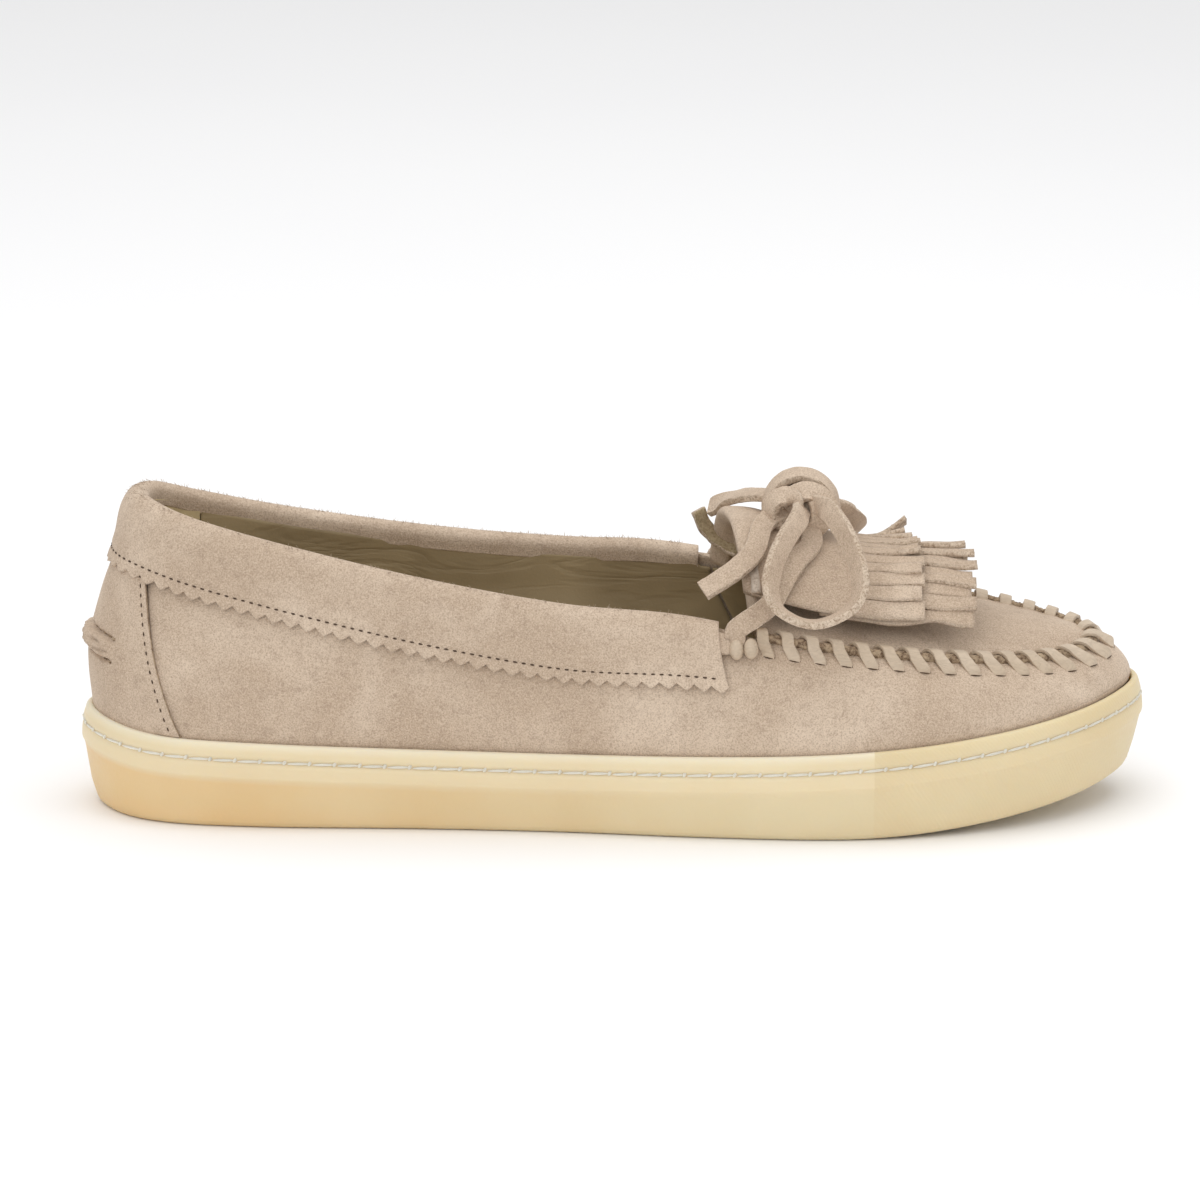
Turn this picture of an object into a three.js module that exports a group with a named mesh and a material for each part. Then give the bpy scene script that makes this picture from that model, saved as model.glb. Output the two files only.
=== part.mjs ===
// A right-foot moccasin on a rubber cup sole: a suede wall sewn round a raised apron with one
// spiral of leather thong, a pinked collar that hides the lace, and a folded, fringed kiltie
// under a bow. Millimetres, +X to the toe, +Y to the inner (medial) side, +Z up; the origin is
// on the ground under the middle of the sole.
import * as THREE from "three";
import { mergeVertices } from "three/addons/utils/BufferGeometryUtils.js";

// ---- Driving dimensions -------------------------------------------------------------------
const shoeLength = 272; // heel to toe of the cup sole
const soleWidth = 90; // over the ball of the foot
const backHeight = 82; // ground to the top of the collar at the heel
const toeSpring = 9; // how far the toe of the sole stands off the ground
const outsoleFloor = 3.5; // rubber under the filler
const suede = 1.4; // wall, apron, heel piece
const liningSkin = 0.9; // lining leather
const stiffenerSkin = 1; // heel counter and toe puff
const gap = 0.3; // between pieces that touch
const facetRoom = 0.3; // more room, where two pieces have different facets
const sockThickness = 1.2;
const foamThickness = 3;
const boardThickness = 1.8;
const collarDepth = 17; // outer leg of the folded collar
const collarSkin = 1.2;
const collarInside = 6; // inner leg of the folded collar
const laceWidth = 5.4;
const laceThickness = 1.9;
const whipWidth = 2.6; // thong of the apron seam
const whipThickness = 0.9;
const whipPitch = 6.5; // from stitch to stitch
const whipReach = 3; // half the length of a stitch across the seam
const whipRise = 1.5; // half the height of the spiral
const threadSize = 0.8;
const kiltieSkin = 1.4;
const fringeStrip = 4.4; // width of one fringe strip
const fringeSlit = 0.5;

// ---- The last: twelve stations a side, graded to the driving dimensions ----------------------
// Each row: sole outline x, y; top of the rubber z; upper edge of the wall x, y, z; and how much
// the wall leans in like a vamp (1) rather than standing like a quarter (0).
const baseLength = 272;
const baseWidth = 90;
const baseHeight = 82;
const lastRows = [
  [0, 0, 26, 15.5, 0, 80.2, 0],
  [7, -18, 25, 19, -11, 79.4, 0],
  [22, -28.5, 23.4, 31, -18.5, 76, 0],
  [48, -33, 22.6, 54, -24, 70.6, 0],
  [85, -34.5, 21.6, 88, -28, 63.2, 0],
  [122, -37.5, 21.2, 123, -31, 57.4, 0],
  [157, -42.5, 21.8, 152.5, -32.4, 54.9, 0.2],
  [187, -45, 22.8, 181, -30.8, 48.9, 0.7],
  [213, -43, 24.4, 205, -27.8, 45, 1],
  [237, -35, 26.6, 228, -21.5, 42, 1],
  [256, -22.5, 29, 245, -12.5, 40.2, 1],
  [268, -7, 30.8, 255, -4, 40.4, 1],
  [272, 8, 31.2, 258.5, 5, 41.6, 1],
  [267, 22.5, 30.6, 255, 13.5, 42.7, 1],
  [256, 33.5, 29, 245, 20.5, 44.3, 1],
  [237, 42, 26.6, 228, 26, 47, 1],
  [213, 45, 24.4, 205, 30, 50, 1],
  [187, 43, 22.8, 179, 32.4, 53.6, 0.7],
  [157, 37, 21.8, 148, 32.8, 58.4, 0.2],
  [122, 30.5, 21.2, 123, 31, 60, 0],
  [85, 30, 21.6, 88, 28.5, 63.6, 0],
  [48, 32, 22.6, 54, 24.3, 69.3, 0],
  [22, 28, 23.4, 31, 18.5, 75, 0],
  [7, 18, 25, 19, 11, 79.2, 0],
];
const stations = lastRows.length;
const perStation = 3; // facets between two rows of the last
const ring = stations * perStation;
const gradeX = shoeLength / baseLength;
const gradeY = soleWidth / baseWidth;
const gradeZ = backHeight / baseHeight;

const lerp = (a, b, t) => a + (b - a) * t;
const v3 = (x, y, z) => new THREE.Vector3(x, y, z);

// One column of the last at station k (0 at the heel, 12 at the toe, counted round the outer side).
function column(c, k) {
  const wrapped = ((k % stations) + stations) % stations;
  const i = Math.floor(wrapped);
  const t = wrapped - i;
  const [a, b, d, e] = [-1, 0, 1, 2].map((n) => lastRows[(i + n + stations) % stations][c]);
  const square = 2 * a - 5 * b + 4 * d - e;
  const cube = 3 * b - a - 3 * d + e;
  return 0.5 * (2 * b + (d - a) * t + square * t * t + cube * t ** 3);
}
const plan = (c, k) => v3(column(c, k) * gradeX - shoeLength / 2, column(c + 1, k) * gradeY, 0);

// Outward horizontal normal of the sole outline or of the wall's upper edge.
function outward(c, k) {
  const along = plan(c, k + 0.05).sub(plan(c, k - 0.05));
  return v3(along.y, -along.x, 0).normalize();
}
const outline = (k, inset) => plan(0, k).addScaledVector(outward(0, k), -inset);
const rubberTop = (k) => column(2, k) * gradeZ;
const tread = (x) => toeSpring * Math.max(0, (x + shoeLength / 2) / shoeLength / 0.3 - 7 / 3) ** 1.8;

// Height of the footbed's top over the ground. What lies over the thinnest stack that the cup can
// hold is graded with the shoe's height.
const bedStack = sockThickness + gap + foamThickness + gap + boardThickness;
const thinnestFiller = 0.8;
const bedHeights = [18.5, 18, 17, 14.8, 12.8, 12.6, 15.2, 21.5];
function bedTop(x) {
  const last = bedHeights.length - 1;
  const along = THREE.MathUtils.clamp((x / shoeLength + 0.5) * last, 0, last);
  const i = Math.min(Math.floor(along), last - 1);
  const t = along - i;
  const height = lerp(bedHeights[i], bedHeights[i + 1], t * t * (3 - 2 * t));
  const lowest = tread(x) + outsoleFloor + thinnestFiller + 2 * gap + bedStack;
  return height + (gradeZ - 1) * Math.max(0, height - lowest);
}

// ---- The wall of the upper --------------------------------------------------------------------
const wallInset = 3.4; // outer face of the wall, in from the widest line of the rubber
const tuckLean = 0.9; // how far the tucked wall leans in at its foot
const behindWall = suede + gap + facetRoom; // what lies behind the wall
const liningStep = stiffenerSkin + gap + facetRoom; // how much deeper the lining lies over a stiffener
const quarterShape = { low: 0.36, lowOut: 1.6, high: 0.36, highOut: 3.6 };
const vampShape = { low: 0.42, lowOut: 1, high: 0.16, highOut: 5 };

// The four control points of the wall's section at station k.
function section(k) {
  const foot = outline(k, wallInset).setZ(rubberTop(k));
  const head = plan(3, k).setZ(column(5, k) * gradeZ);
  const out = outward(0, k);
  const vamp = THREE.MathUtils.clamp(column(6, k), 0, 1);
  const part = (name) => lerp(quarterShape[name], vampShape[name], vamp);
  const rise = head.z - foot.z;
  const low = foot.clone().addScaledVector(out, part("lowOut")).setZ(foot.z + rise * part("low"));
  const high = head.clone().addScaledVector(out, part("highOut")).setZ(head.z - rise * part("high"));
  return new THREE.CubicBezierCurve3(foot, low, high, head);
}
const wallLength = (k) => section(k).getLength();

// A point of the wall: up is 0 where it leaves the rubber and 1 at its edge, out is off its face.
// Past either end the wall goes on straight.
function wall(k, up, out) {
  const curve = section(k);
  const t = THREE.MathUtils.clamp(up, 0, 1);
  const along = curve.getTangent(t);
  const side = plan(3, k + 0.05).sub(plan(3, k - 0.05)).normalize();
  const face = new THREE.Vector3().crossVectors(side, along).normalize();
  const past = (up - t) * wallLength(k);
  return curve.getPoint(t).addScaledVector(along, past).addScaledVector(face, out);
}
// The same, by distance down from the edge.
const wallBelow = (k, down, out) => wall(k, 1 - down / wallLength(k), out);

// ---- Meshes -----------------------------------------------------------------------------------
// Puts quads over rows of points; a row or column that repeats closes up by itself.
class Faces {
  positions = [];
  triangle(a, b, c) {
    const flat = new THREE.Triangle(a, b, c).getArea() < 1e-7;
    if (!flat) for (const p of [a, b, c]) this.positions.push(p.x, p.y, p.z);
  }
  quad(a, b, c, d) {
    this.triangle(a, b, c);
    this.triangle(a, c, d);
  }
  rows(grid) {
    for (let i = 0; i + 1 < grid.length; i++)
      for (let j = 0; j + 1 < grid[i].length; j++)
        this.quad(grid[i][j], grid[i + 1][j], grid[i + 1][j + 1], grid[i][j + 1]);
  }
  // Six times the volume that the triangles close in, negative when they face inwards.
  volume() {
    const at = (i) => v3().fromArray(this.positions, i);
    let sum = 0;
    for (let i = 0; i < this.positions.length; i += 9) sum += at(i).dot(at(i + 3).cross(at(i + 6)));
    return sum;
  }
  geometry() {
    const made = new THREE.BufferGeometry();
    made.setAttribute("position", new THREE.Float32BufferAttribute(this.positions, 3));
    const whole = mergeVertices(made, 1e-3);
    if (this.volume() < 0) whole.index.array.reverse();
    whole.computeVertexNormals();
    return whole;
  }
}
const range = (n) => [...Array(n).keys()];
const steps = (from, to, n) => range(n + 1).map((i) => lerp(from, to, i / n));

// A skin between two grids of points, over the cells that has() keeps, with a rim round each edge.
// Where the grid closes on itself at its start or end, that edge gets no rim.
function skin(outer, inner, { start = true, end = true, has = () => true } = {}) {
  const faces = new Faces();
  const [rows, columns] = [outer.length - 1, outer[0].length - 1];
  const kept = (i, j) => i >= 0 && j >= 0 && i < rows && j < columns && has(i, j);
  const rim = ([i, j], [m, n]) => faces.quad(outer[i][j], inner[i][j], inner[m][n], outer[m][n]);
  for (const i of range(rows))
    for (const j of range(columns)) {
      if (!kept(i, j)) continue;
      faces.quad(outer[i][j], outer[i + 1][j], outer[i + 1][j + 1], outer[i][j + 1]);
      faces.quad(inner[i][j], inner[i][j + 1], inner[i + 1][j + 1], inner[i + 1][j]);
      if (!kept(i, j - 1)) rim([i, j], [i + 1, j]);
      if (!kept(i, j + 1)) rim([i + 1, j + 1], [i, j + 1]);
      if (!kept(i - 1, j) && (i > 0 || start)) rim([i, j + 1], [i, j]);
      if (!kept(i + 1, j) && (i + 1 < rows || end)) rim([i + 1, j], [i + 1, j + 1]);
    }
  return faces.geometry();
}

// The triangles that fill a flat loop of points, as indices into it.
function fill(loop) {
  const normal = v3(0, 0, 0);
  const spokes = loop.map((p) => p.clone().sub(loop[0]));
  spokes.forEach((p, i) => normal.add(p.clone().cross(spokes[(i + 1) % loop.length])));
  const level = new THREE.Quaternion().setFromUnitVectors(normal.normalize(), v3(0, 0, 1));
  const flat = spokes.map((p) => p.applyQuaternion(level));
  return THREE.ShapeUtils.triangulateShape(flat.map((p) => new THREE.Vector2(p.x, p.y)), []);
}
// A closed section, given as a loop of points at each place, swept from end to end with flat ends.
function sweep(loops, { closed = false } = {}) {
  const faces = new Faces();
  const round = loops.map((loop) => [...loop, loop[0]]);
  faces.rows(closed ? [...round, round[0]] : round);
  const [first, last] = [loops[0], loops[loops.length - 1]];
  if (!closed) {
    for (const [a, b, c] of fill(first)) faces.triangle(first[a], first[b], first[c]);
    for (const [a, b, c] of fill(last)) faces.triangle(last[a], last[c], last[b]);
  }
  return faces.geometry();
}

// A slab under the foot: each face is a ladder between the outer and the inner side.
function slab(inset, topAt, bottomAt) {
  const edge = range(ring).map((i) => outline(i / perStation, inset));
  const rungs = range(ring / 2 + 1).map((i) => [edge[i], edge[(ring - i) % ring]]);
  const face = (height) => rungs.map((rung) => rung.map((p) => p.clone().setZ(height(p.x))));
  return skin(face(topAt), face(bottomAt), { start: false, end: false });
}

const group = new THREE.Group();
const looks = {
  rubber: { color: 0xe0c992, roughness: 0.45 },
  filler: { color: 0xd8cfb8, roughness: 0.9 },
  board: { color: 0xb08a5c, roughness: 0.9 },
  foam: { color: 0xe8e2d2, roughness: 0.95 },
  lining: { color: 0x9c8866, roughness: 0.55 },
  stiffener: { color: 0xcfc6b4, roughness: 0.8 },
  suede: { color: 0xb9a48f, roughness: 0.95 },
  thong: { color: 0xb3a48e, roughness: 0.6 },
  soleThread: { color: 0xf2e8c4, roughness: 0.7 },
  thread: { color: 0x8a7762, roughness: 0.8 },
};
function add(name, geometry, look) {
  const mesh = new THREE.Mesh(geometry, new THREE.MeshStandardMaterial({ ...looks[look], metalness: 0 }));
  mesh.name = name;
  group.add(mesh);
  return mesh;
}

// ---- Cup sole ---------------------------------------------------------------------------------
const cupWallTop = wallInset - gap; // inner face of the rubber lip
const cupWallFoot = 4; // inner face of the rubber at its floor
const stitchDrop = 4.3; // from the lip down to the stitch groove
const grooveDepth = 0.9;
const grooveHalf = 1.1;
const grooveInset = 0.15; // the groove's edges lie this far in from the widest line

// Each point: inset from the outline, height. It runs from the tread up the outside and down inside.
function cupProfile(k) {
  const low = tread(outline(k, 3).x);
  const lip = rubberTop(k);
  const groove = lip - stitchDrop;
  const profile = [
    [5.6, low],
    [3.9, low + 0.9],
    [3.1, low + 3.2],
    [0, lip - 8.2],
    [grooveInset, groove - grooveHalf],
    [grooveInset + grooveDepth, groove],
    [0.5, groove + grooveHalf],
    [1.4, lip - 0.5],
    [cupWallTop, lip],
    [cupWallFoot, low + outsoleFloor],
  ];
  return profile.map(([inset, z]) => outline(k, inset).setZ(z));
}
function cupSole() {
  const faces = new Faces();
  const rings = range(ring).map((i) => cupProfile(i / perStation));
  faces.rows([...rings, rings[0]]);
  const last = rings[0].length - 1;
  for (let i = 0; i < ring / 2; i++) {
    const [a, b] = [rings[i], rings[i + 1]];
    const [c, d] = [rings[(ring - i - 1) % ring], rings[(ring - i) % ring]];
    faces.quad(d[0], c[0], b[0], a[0]);
    faces.quad(a[last], b[last], c[last], d[last]);
  }
  return faces.geometry();
}
add("outsole_cup", cupSole(), "rubber");

const fillerInset = cupWallFoot + 2 * gap;
const bedInset = wallInset + tuckLean + behindWall + liningStep + liningSkin + gap + facetRoom;
const boardBottom = (x) => bedTop(x) - bedStack;
const boardTop = (x) => boardBottom(x) + boardThickness;
const sockBottom = (x) => bedTop(x) - sockThickness;
const fillerTop = (x) => boardBottom(x) - gap;
const fillerBottom = (x) => tread(x) + outsoleFloor + gap;
add("cup_filler", slab(fillerInset, fillerTop, fillerBottom), "filler");
add("insole_board", slab(bedInset, boardTop, boardBottom), "board");
add("footbed_foam", slab(bedInset, (x) => sockBottom(x) - gap, (x) => boardTop(x) + gap), "foam");
add("sock_liner", slab(bedInset, bedTop, sockBottom), "lining");

// A square thread's section, as shares of half its size: across and off the surface.
const threadCorners = [[1, 0], [0, 1], [-1, 0], [0, -1]];
// The stitching round the cup's side lies in its groove.
function soleStitching() {
  const half = threadSize / 2;
  const loops = range(ring).map((i) => {
    const k = i / perStation;
    const z = rubberTop(k) - stitchDrop;
    const inset = grooveInset + grooveDepth - gap - half;
    return threadCorners.map(([a, b]) => outline(k, inset - a * half).setZ(z + b * half));
  });
  return sweep(loops, { closed: true });
}
add("sole_stitching", soleStitching(), "soleThread");

// ---- Upper ------------------------------------------------------------------------------------
// The foot of the wall, inside the cup, as a share of the wall's length under the rubber's top.
const wallTuck = (k) => (boardBottom(outline(k, wallInset).x) - rubberTop(k)) / wallLength(k);
// From the seam's line to the leather either side of it.
const seamChannel = whipReach + whipThickness / 2 + gap + facetRoom;
const collarEnd = { outer: 6 + 1 / 3, inner: 17 + 2 / 3 }; // stations where the collar stops
const seamFoot = 2.15; // stations from the heel to the heel piece's seam, at the rubber
const seamHead = 0.9; // and at the topline
const heelSeam = (up) => lerp(seamFoot, seamHead, THREE.MathUtils.clamp(up, 0, 1));

// A point of the wall that also follows it down into the cup.
function wallPoint(k, up, out) {
  if (up >= 0) return wall(k, up, out);
  const share = up / wallTuck(k);
  const foot = outline(k, wallInset + tuckLean * share - out);
  return foot.setZ(lerp(rubberTop(k), boardBottom(outline(k, wallInset).x), share));
}
const inFrontOfCollar = (k) => k > collarEnd.outer - 1e-6 && k < collarEnd.inner + 1e-6;
const panelUps = [0, 0.2, 0.4, 0.6, 0.8, 1];

// Heel piece, between its two slanted seams.
const seamGap = gap / 2 / 12; // half the joint between two leathers, in stations
const heelColumns = 10;
function heelPiece() {
  const kAt = (i, u) => (heelSeam(u) - seamGap) * ((2 * i) / heelColumns - 1);
  const grid = (out) =>
    range(heelColumns + 1).map((i) =>
      [wallTuck(kAt(i, 0)), ...panelUps].map((u) => wallPoint(kAt(i, u), u, out)),
    );
  return skin(grid(0), grid(-suede));
}
add("heel_piece", heelPiece(), "suede");

// The wall: one leather from the outer heel seam round the toe to the inner one.
const warped = 8; // columns that slant with the seam
const straightFrom = 4;
const wallColumns = 2 * (warped + (stations / 2 - straightFrom) * perStation);
function wallColumn(i, u) {
  const mirrored = i > wallColumns / 2;
  const n = mirrored ? wallColumns - i : i;
  const seam = heelSeam(u) + seamGap;
  const k = n < warped ? lerp(seam, straightFrom, n / warped) : straightFrom + (n - warped) / perStation;
  return mirrored ? stations - k : k;
}
// Up the wall to the apron seam's channel; what lies in the cup stays as it is.
const toSeam = (k, u) => (u > 0 ? u * (1 - seamChannel / wallLength(k)) : u);
// Its edge steps down where the collar ends, so those two columns appear twice.
function moccasinWall() {
  const columns = range(wallColumns + 1).flatMap((i) => {
    const k = wallColumn(i, 1);
    const near = (end) => Math.abs(k - end) < 1e-6;
    if (near(collarEnd.outer)) return [[i, false], [i, true]];
    if (near(collarEnd.inner)) return [[i, true], [i, false]];
    return [[i, inFrontOfCollar(k)]];
  });
  const place = (i, seamed, u, out) => {
    const k = wallColumn(i, u);
    return wallPoint(k, seamed ? toSeam(k, u) : u, out);
  };
  const ups = (i) => [wallTuck(wallColumn(i, 0)), ...panelUps];
  const grid = (out) => columns.map(([i, seamed]) => ups(i).map((u) => place(i, seamed, u, out)));
  return skin(grid(0), grid(-suede));
}
add("moccasin_wall", moccasinWall(), "suede");

// ---- Linings and stiffeners -------------------------------------------------------------------
const counterReach = 3; // stations either side of the heel
const counterUp = 0.62;
const puffReach = 2; // stations either side of the toe
const puffUp = 0.62;
const fromHeel = (k) => Math.min(k, stations - k);
// How deep the lining lies: over the heel counter and the toe puff it steps in by their thickness.
function liningFace(k) {
  const heel = THREE.MathUtils.clamp((counterReach + 0.7 - fromHeel(k)) / 0.6, 0, 1);
  const toe = THREE.MathUtils.clamp((puffReach + 0.7 - Math.abs(k - stations / 2)) / 0.6, 0, 1);
  return -behindWall - Math.max(heel, toe) * liningStep;
}
const spread = (from, to) => steps(from, to, Math.round((to - from) * perStation));
const toLiningTop = (k, u) => {
  const top = 1 - (collarInside + gap + 2 * facetRoom) / wallLength(k);
  return u > 0 ? u * top : u;
};
const liningUps = [0, 0.33, 0.66, 1];
function lining(from, to) {
  const column = (k, out) => [wallTuck(k), ...liningUps].map((u) => wallPoint(k, toLiningTop(k, u), out));
  const grid = (deeper) =>
    spread(from, to).map((k) => column(k, liningFace((k + stations) % stations) - deeper));
  return skin(grid(0), grid(liningSkin));
}
const liningSeam = 1.9; // stations from the heel to the lining's seam
const pastSeam = liningSeam + 2 * seamGap;
add("heel_lining", lining(-liningSeam, liningSeam), "lining");
add("outer_quarter_lining", lining(pastSeam, collarEnd.outer), "lining");
add("inner_quarter_lining", lining(collarEnd.inner, stations - pastSeam), "lining");

function stiffener(from, to, upTo) {
  const column = (k, out) => [wallTuck(k), 0, upTo / 2, upTo].map((u) => wallPoint(k, u, out));
  const grid = (out) => spread(from, to).map((k) => column(k, out));
  return skin(grid(-behindWall), grid(-behindWall - stiffenerSkin));
}
add("heel_counter", stiffener(-counterReach, counterReach, counterUp), "stiffener");
add("toe_puff", stiffener(stations / 2 - puffReach, stations / 2 + puffReach, puffUp), "stiffener");

// ---- Apron ------------------------------------------------------------------------------------
const throat = 6 + 2 / 3; // station where the apron starts
const apronColumns = 8;
const domeAtThroat = 5.5;
const domeAtToe = 1.5;
const apronRows = steps(throat, stations / 2, Math.round((stations / 2 - throat) * perStation));
const seamLine = (k) => plan(3, k).setZ(column(5, k) * gradeZ);
const apronEdge = (k) => seamLine(k).addScaledVector(outward(3, k), -seamChannel);
const domeEnd = 0.2; // share of the apron's length over which the dome runs out at the toe
function apronPoint(k, across, lift) {
  const ahead = (k - throat) / (stations / 2 - throat);
  const dome = lerp(domeAtThroat, domeAtToe, ahead) * Math.min(1, (1 - ahead) / domeEnd);
  const p = apronEdge(k).lerp(apronEdge(stations - k), (across + 1) / 2);
  return p.setZ(p.z + dome * (1 - across * across) + lift);
}
const across = steps(-1, 1, apronColumns);
const apronGrid = (lift) => apronRows.map((k) => across.map((q) => apronPoint(k, q, lift)));
add("apron", skin(apronGrid(0), apronGrid(-suede), { end: false }), "suede");

// One lining for the vamp: up the outer side, under the apron and down the inner side. Its last
// row folds shut on itself at the toe.
const vampStart = 0.08; // stations from the collar's end to the vamp lining
const apronLiningDrop = whipRise + whipThickness + suede;
const liningRows = 17;
function vampLining() {
  const side = (k, deeper) =>
    [wallTuck(k), ...liningUps].map((u) => wallPoint(k, toSeam(k, u), liningFace(k) - deeper));
  const under = (k, deeper) =>
    steps(-0.9, 0.9, 4).map((q) => {
      const p = apronPoint(Math.max(k, throat), q, -apronLiningDrop - deeper);
      return k < throat ? p.setX(seamLine(k).x) : p;
    });
  const row = (k, deeper) => {
    const otherSide = side(stations - k, deeper).reverse();
    return [...side(k, deeper), ...under(k, deeper), ...otherSide];
  };
  const rows = steps(collarEnd.outer + vampStart, stations / 2, liningRows);
  return skin(rows.map((k) => row(k, 0)), rows.map((k) => row(k, liningSkin)), { end: false });
}
add("vamp_lining", vampLining(), "lining");

// ---- Apron seam: a welt of raw edges, whipped over with one thong ------------------------------
const seamEnds = { from: throat + 0.05, to: stations - throat - 0.05 };
const seamTilt = THREE.MathUtils.degToRad(20);
function seamFrame(k) {
  const inward = outward(3, k).negate();
  const acrossSeam = inward.multiplyScalar(Math.cos(seamTilt)).add(v3(0, 0, Math.sin(seamTilt)));
  const along = seamLine(k + 0.02).sub(seamLine(k - 0.02)).normalize();
  const rise = new THREE.Vector3().crossVectors(along, acrossSeam).normalize();
  if (rise.z < 0) rise.negate();
  return { at: seamLine(k), along, across: acrossSeam, rise };
}
const turnFacets = 6; // flat stretches in one turn of the thong
const turnFlat = Math.cos(Math.PI / turnFacets);
const weltHalfWidth = whipReach * turnFlat - whipThickness / 2 - gap;
const weltHalfHeight = whipRise * turnFlat - whipThickness / 2 - gap;
const weltSteps = 32;
function weltLoop(k) {
  const { at, across, rise } = seamFrame(k);
  return range(turnFacets).map((i) => {
    const angle = (2 * Math.PI * i) / turnFacets;
    const side = across.clone().multiplyScalar(weltHalfWidth * Math.cos(angle));
    return side.addScaledVector(rise, weltHalfHeight * Math.sin(angle)).add(at);
  });
}
add("seam_welt", sweep(steps(seamEnds.from, seamEnds.to, weltSteps).map(weltLoop)), "suede");

// Length along the seam from its start, to space the stitches evenly.
const seamSteps = steps(seamEnds.from, seamEnds.to, 400);
const seamSums = [0];
for (let i = 1; i < seamSteps.length; i++) {
  const step = seamLine(seamSteps[i]).distanceTo(seamLine(seamSteps[i - 1]));
  seamSums.push(seamSums[i - 1] + step);
}
const seamLength = seamSums[seamSums.length - 1];
function stationAt(length) {
  const i = Math.max(1, seamSums.findIndex((sum) => sum >= length));
  return lerp(seamSteps[i - 1], seamSteps[i], (length - seamSums[i - 1]) / (seamSums[i] - seamSums[i - 1]));
}
const stitches = Math.floor((seamLength - 2 * whipWidth) / whipPitch);
const overShare = 0.8; // how much of each pitch the stroke over the welt covers
// One turn of the thong runs over the welt in the first half and back under it in the second.
function alongStitch(part) {
  return part < 0.5 ? 2 * part * overShare : lerp(overShare, 1, 2 * part - 1);
}
function thongLoop(turn) {
  const start = (seamLength - stitches * whipPitch) / 2;
  const whole = Math.floor(turn);
  const length = start + (whole + alongStitch(turn - whole)) * whipPitch;
  const { at, along, across, rise } = seamFrame(stationAt(Math.min(length, seamLength)));
  const angle = 2 * Math.PI * turn;
  const corner = (deep, side) => {
    const reached = across.clone().multiplyScalar((whipReach + deep) * Math.cos(angle)).add(at);
    return reached.addScaledVector(rise, (whipRise + deep) * Math.sin(angle)).addScaledVector(along, side);
  };
  const [d, w] = [whipThickness / 2, whipWidth / 2];
  return [corner(d, -w), corner(d, w), corner(-d, w), corner(-d, -w)];
}
add("whip_thong", sweep(steps(0, stitches, stitches * turnFacets).map(thongLoop)), "thong");

// ---- Folded collar ----------------------------------------------------------------------------
const laceInset = 4.2; // from the wall's edge down to the middle of the lace
const legBack = gap + facetRoom; // the outer leg's clearance to the wall
const tunnel = legBack + laceThickness + 3 * gap; // outer face of the lace's tunnel
const tunnelLow = laceInset + laceWidth / 2 + gap;
const tunnelHigh = laceInset - laceWidth / 2 - gap;
const legSteps = steps(collarDepth, tunnelLow + 2 * collarSkin, 3);
const tunnelSteps = [tunnelLow, laceInset, tunnelHigh];
const inside = -suede - gap; // the inner leg's clearance to the wall
const collarProfile = [
  ...legSteps.map((down) => [down, legBack + collarSkin]),
  ...tunnelSteps.map((down) => [down, tunnel + collarSkin]),
  [tunnelHigh - 2 * collarSkin, tunnel / 2],
  [-gap - collarSkin, inside / 2],
  [tunnelHigh - collarSkin, inside - collarSkin],
  [collarInside, inside - collarSkin],
  [collarInside, inside],
  [-gap, inside],
  [-gap, legBack],
  ...tunnelSteps.reverse().map((down) => [down, tunnel]),
  ...legSteps.reverse().map((down) => [down, legBack]),
];
const collarPlaces = steps(-(stations - collarEnd.inner), collarEnd.outer, 38);
const collarLoop = (k) => collarProfile.map(([down, out]) => wallBelow(k, down, out));
add("collar", sweep(collarPlaces.map(collarLoop)), "suede");

// A thread laid over the leather at places of the wall; base is how far out that leather's face is.
const seamThread = 0.6;
function wallThread(places, base) {
  const half = seamThread / 2;
  return sweep(
    places.map(([k, share]) => {
      const at = wallPoint(k, share, base + gap + half);
      const out = wallPoint(k, share, base + 1).sub(wallPoint(k, share, base)).normalize();
      const up = wallPoint(k, share + 0.02, base).sub(wallPoint(k, share, base)).normalize();
      const corner = ([a, b]) => at.clone().addScaledVector(up, a * half).addScaledVector(out, b * half);
      return threadCorners.map(corner);
    }),
  );
}
const collarStitchDown = collarDepth - 2.8; // from the wall's edge, just over the pinked edge
const collarStitchUp = (k) => 1 - collarStitchDown / wallLength(k);
const collarStitches = collarPlaces.map((k) => [k, collarStitchUp(k)]);
add("collar_stitching", wallThread(collarStitches, legBack + collarSkin), "thread");

const seamStitchBack = 0.13; // stations from the heel seam back to its stitching
const seamStitchFoot = 0.03; // share of the wall where the heel seam's stitching starts
const seamStitchHead = collarDepth + 1.7; // from the wall's edge down to where it ends
for (const [name, side] of [["outer", 1], ["inner", -1]]) {
  const head = 1 - seamStitchHead / wallLength(side * seamHead);
  const places = steps(seamStitchFoot, head, 5).map((u) => [side * (heelSeam(u) - seamStitchBack), u]);
  add(name + "_heel_stitching", wallThread(places, 0), "thread");
}

// The tuck across the heel piece: a low roll of the same suede.
const tuckReach = 1.05; // stations either side of the heel
const tuckUp = 0.32;
const tuckHeight = 4.8;
const tuckRise = 1.3;
const tuckCorners = [[-1, 0], [1, 0], [0.6, 1], [-0.6, 1]];
function heelTuck() {
  return sweep(
    steps(-tuckReach, tuckReach, 8).map((k) => {
      const half = tuckHeight / 2 / wallLength(k);
      return tuckCorners.map(([a, b]) => wallPoint(k, tuckUp + a * half, gap + b * tuckRise));
    }),
  );
}
add("heel_tuck", heelTuck(), "suede");

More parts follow.
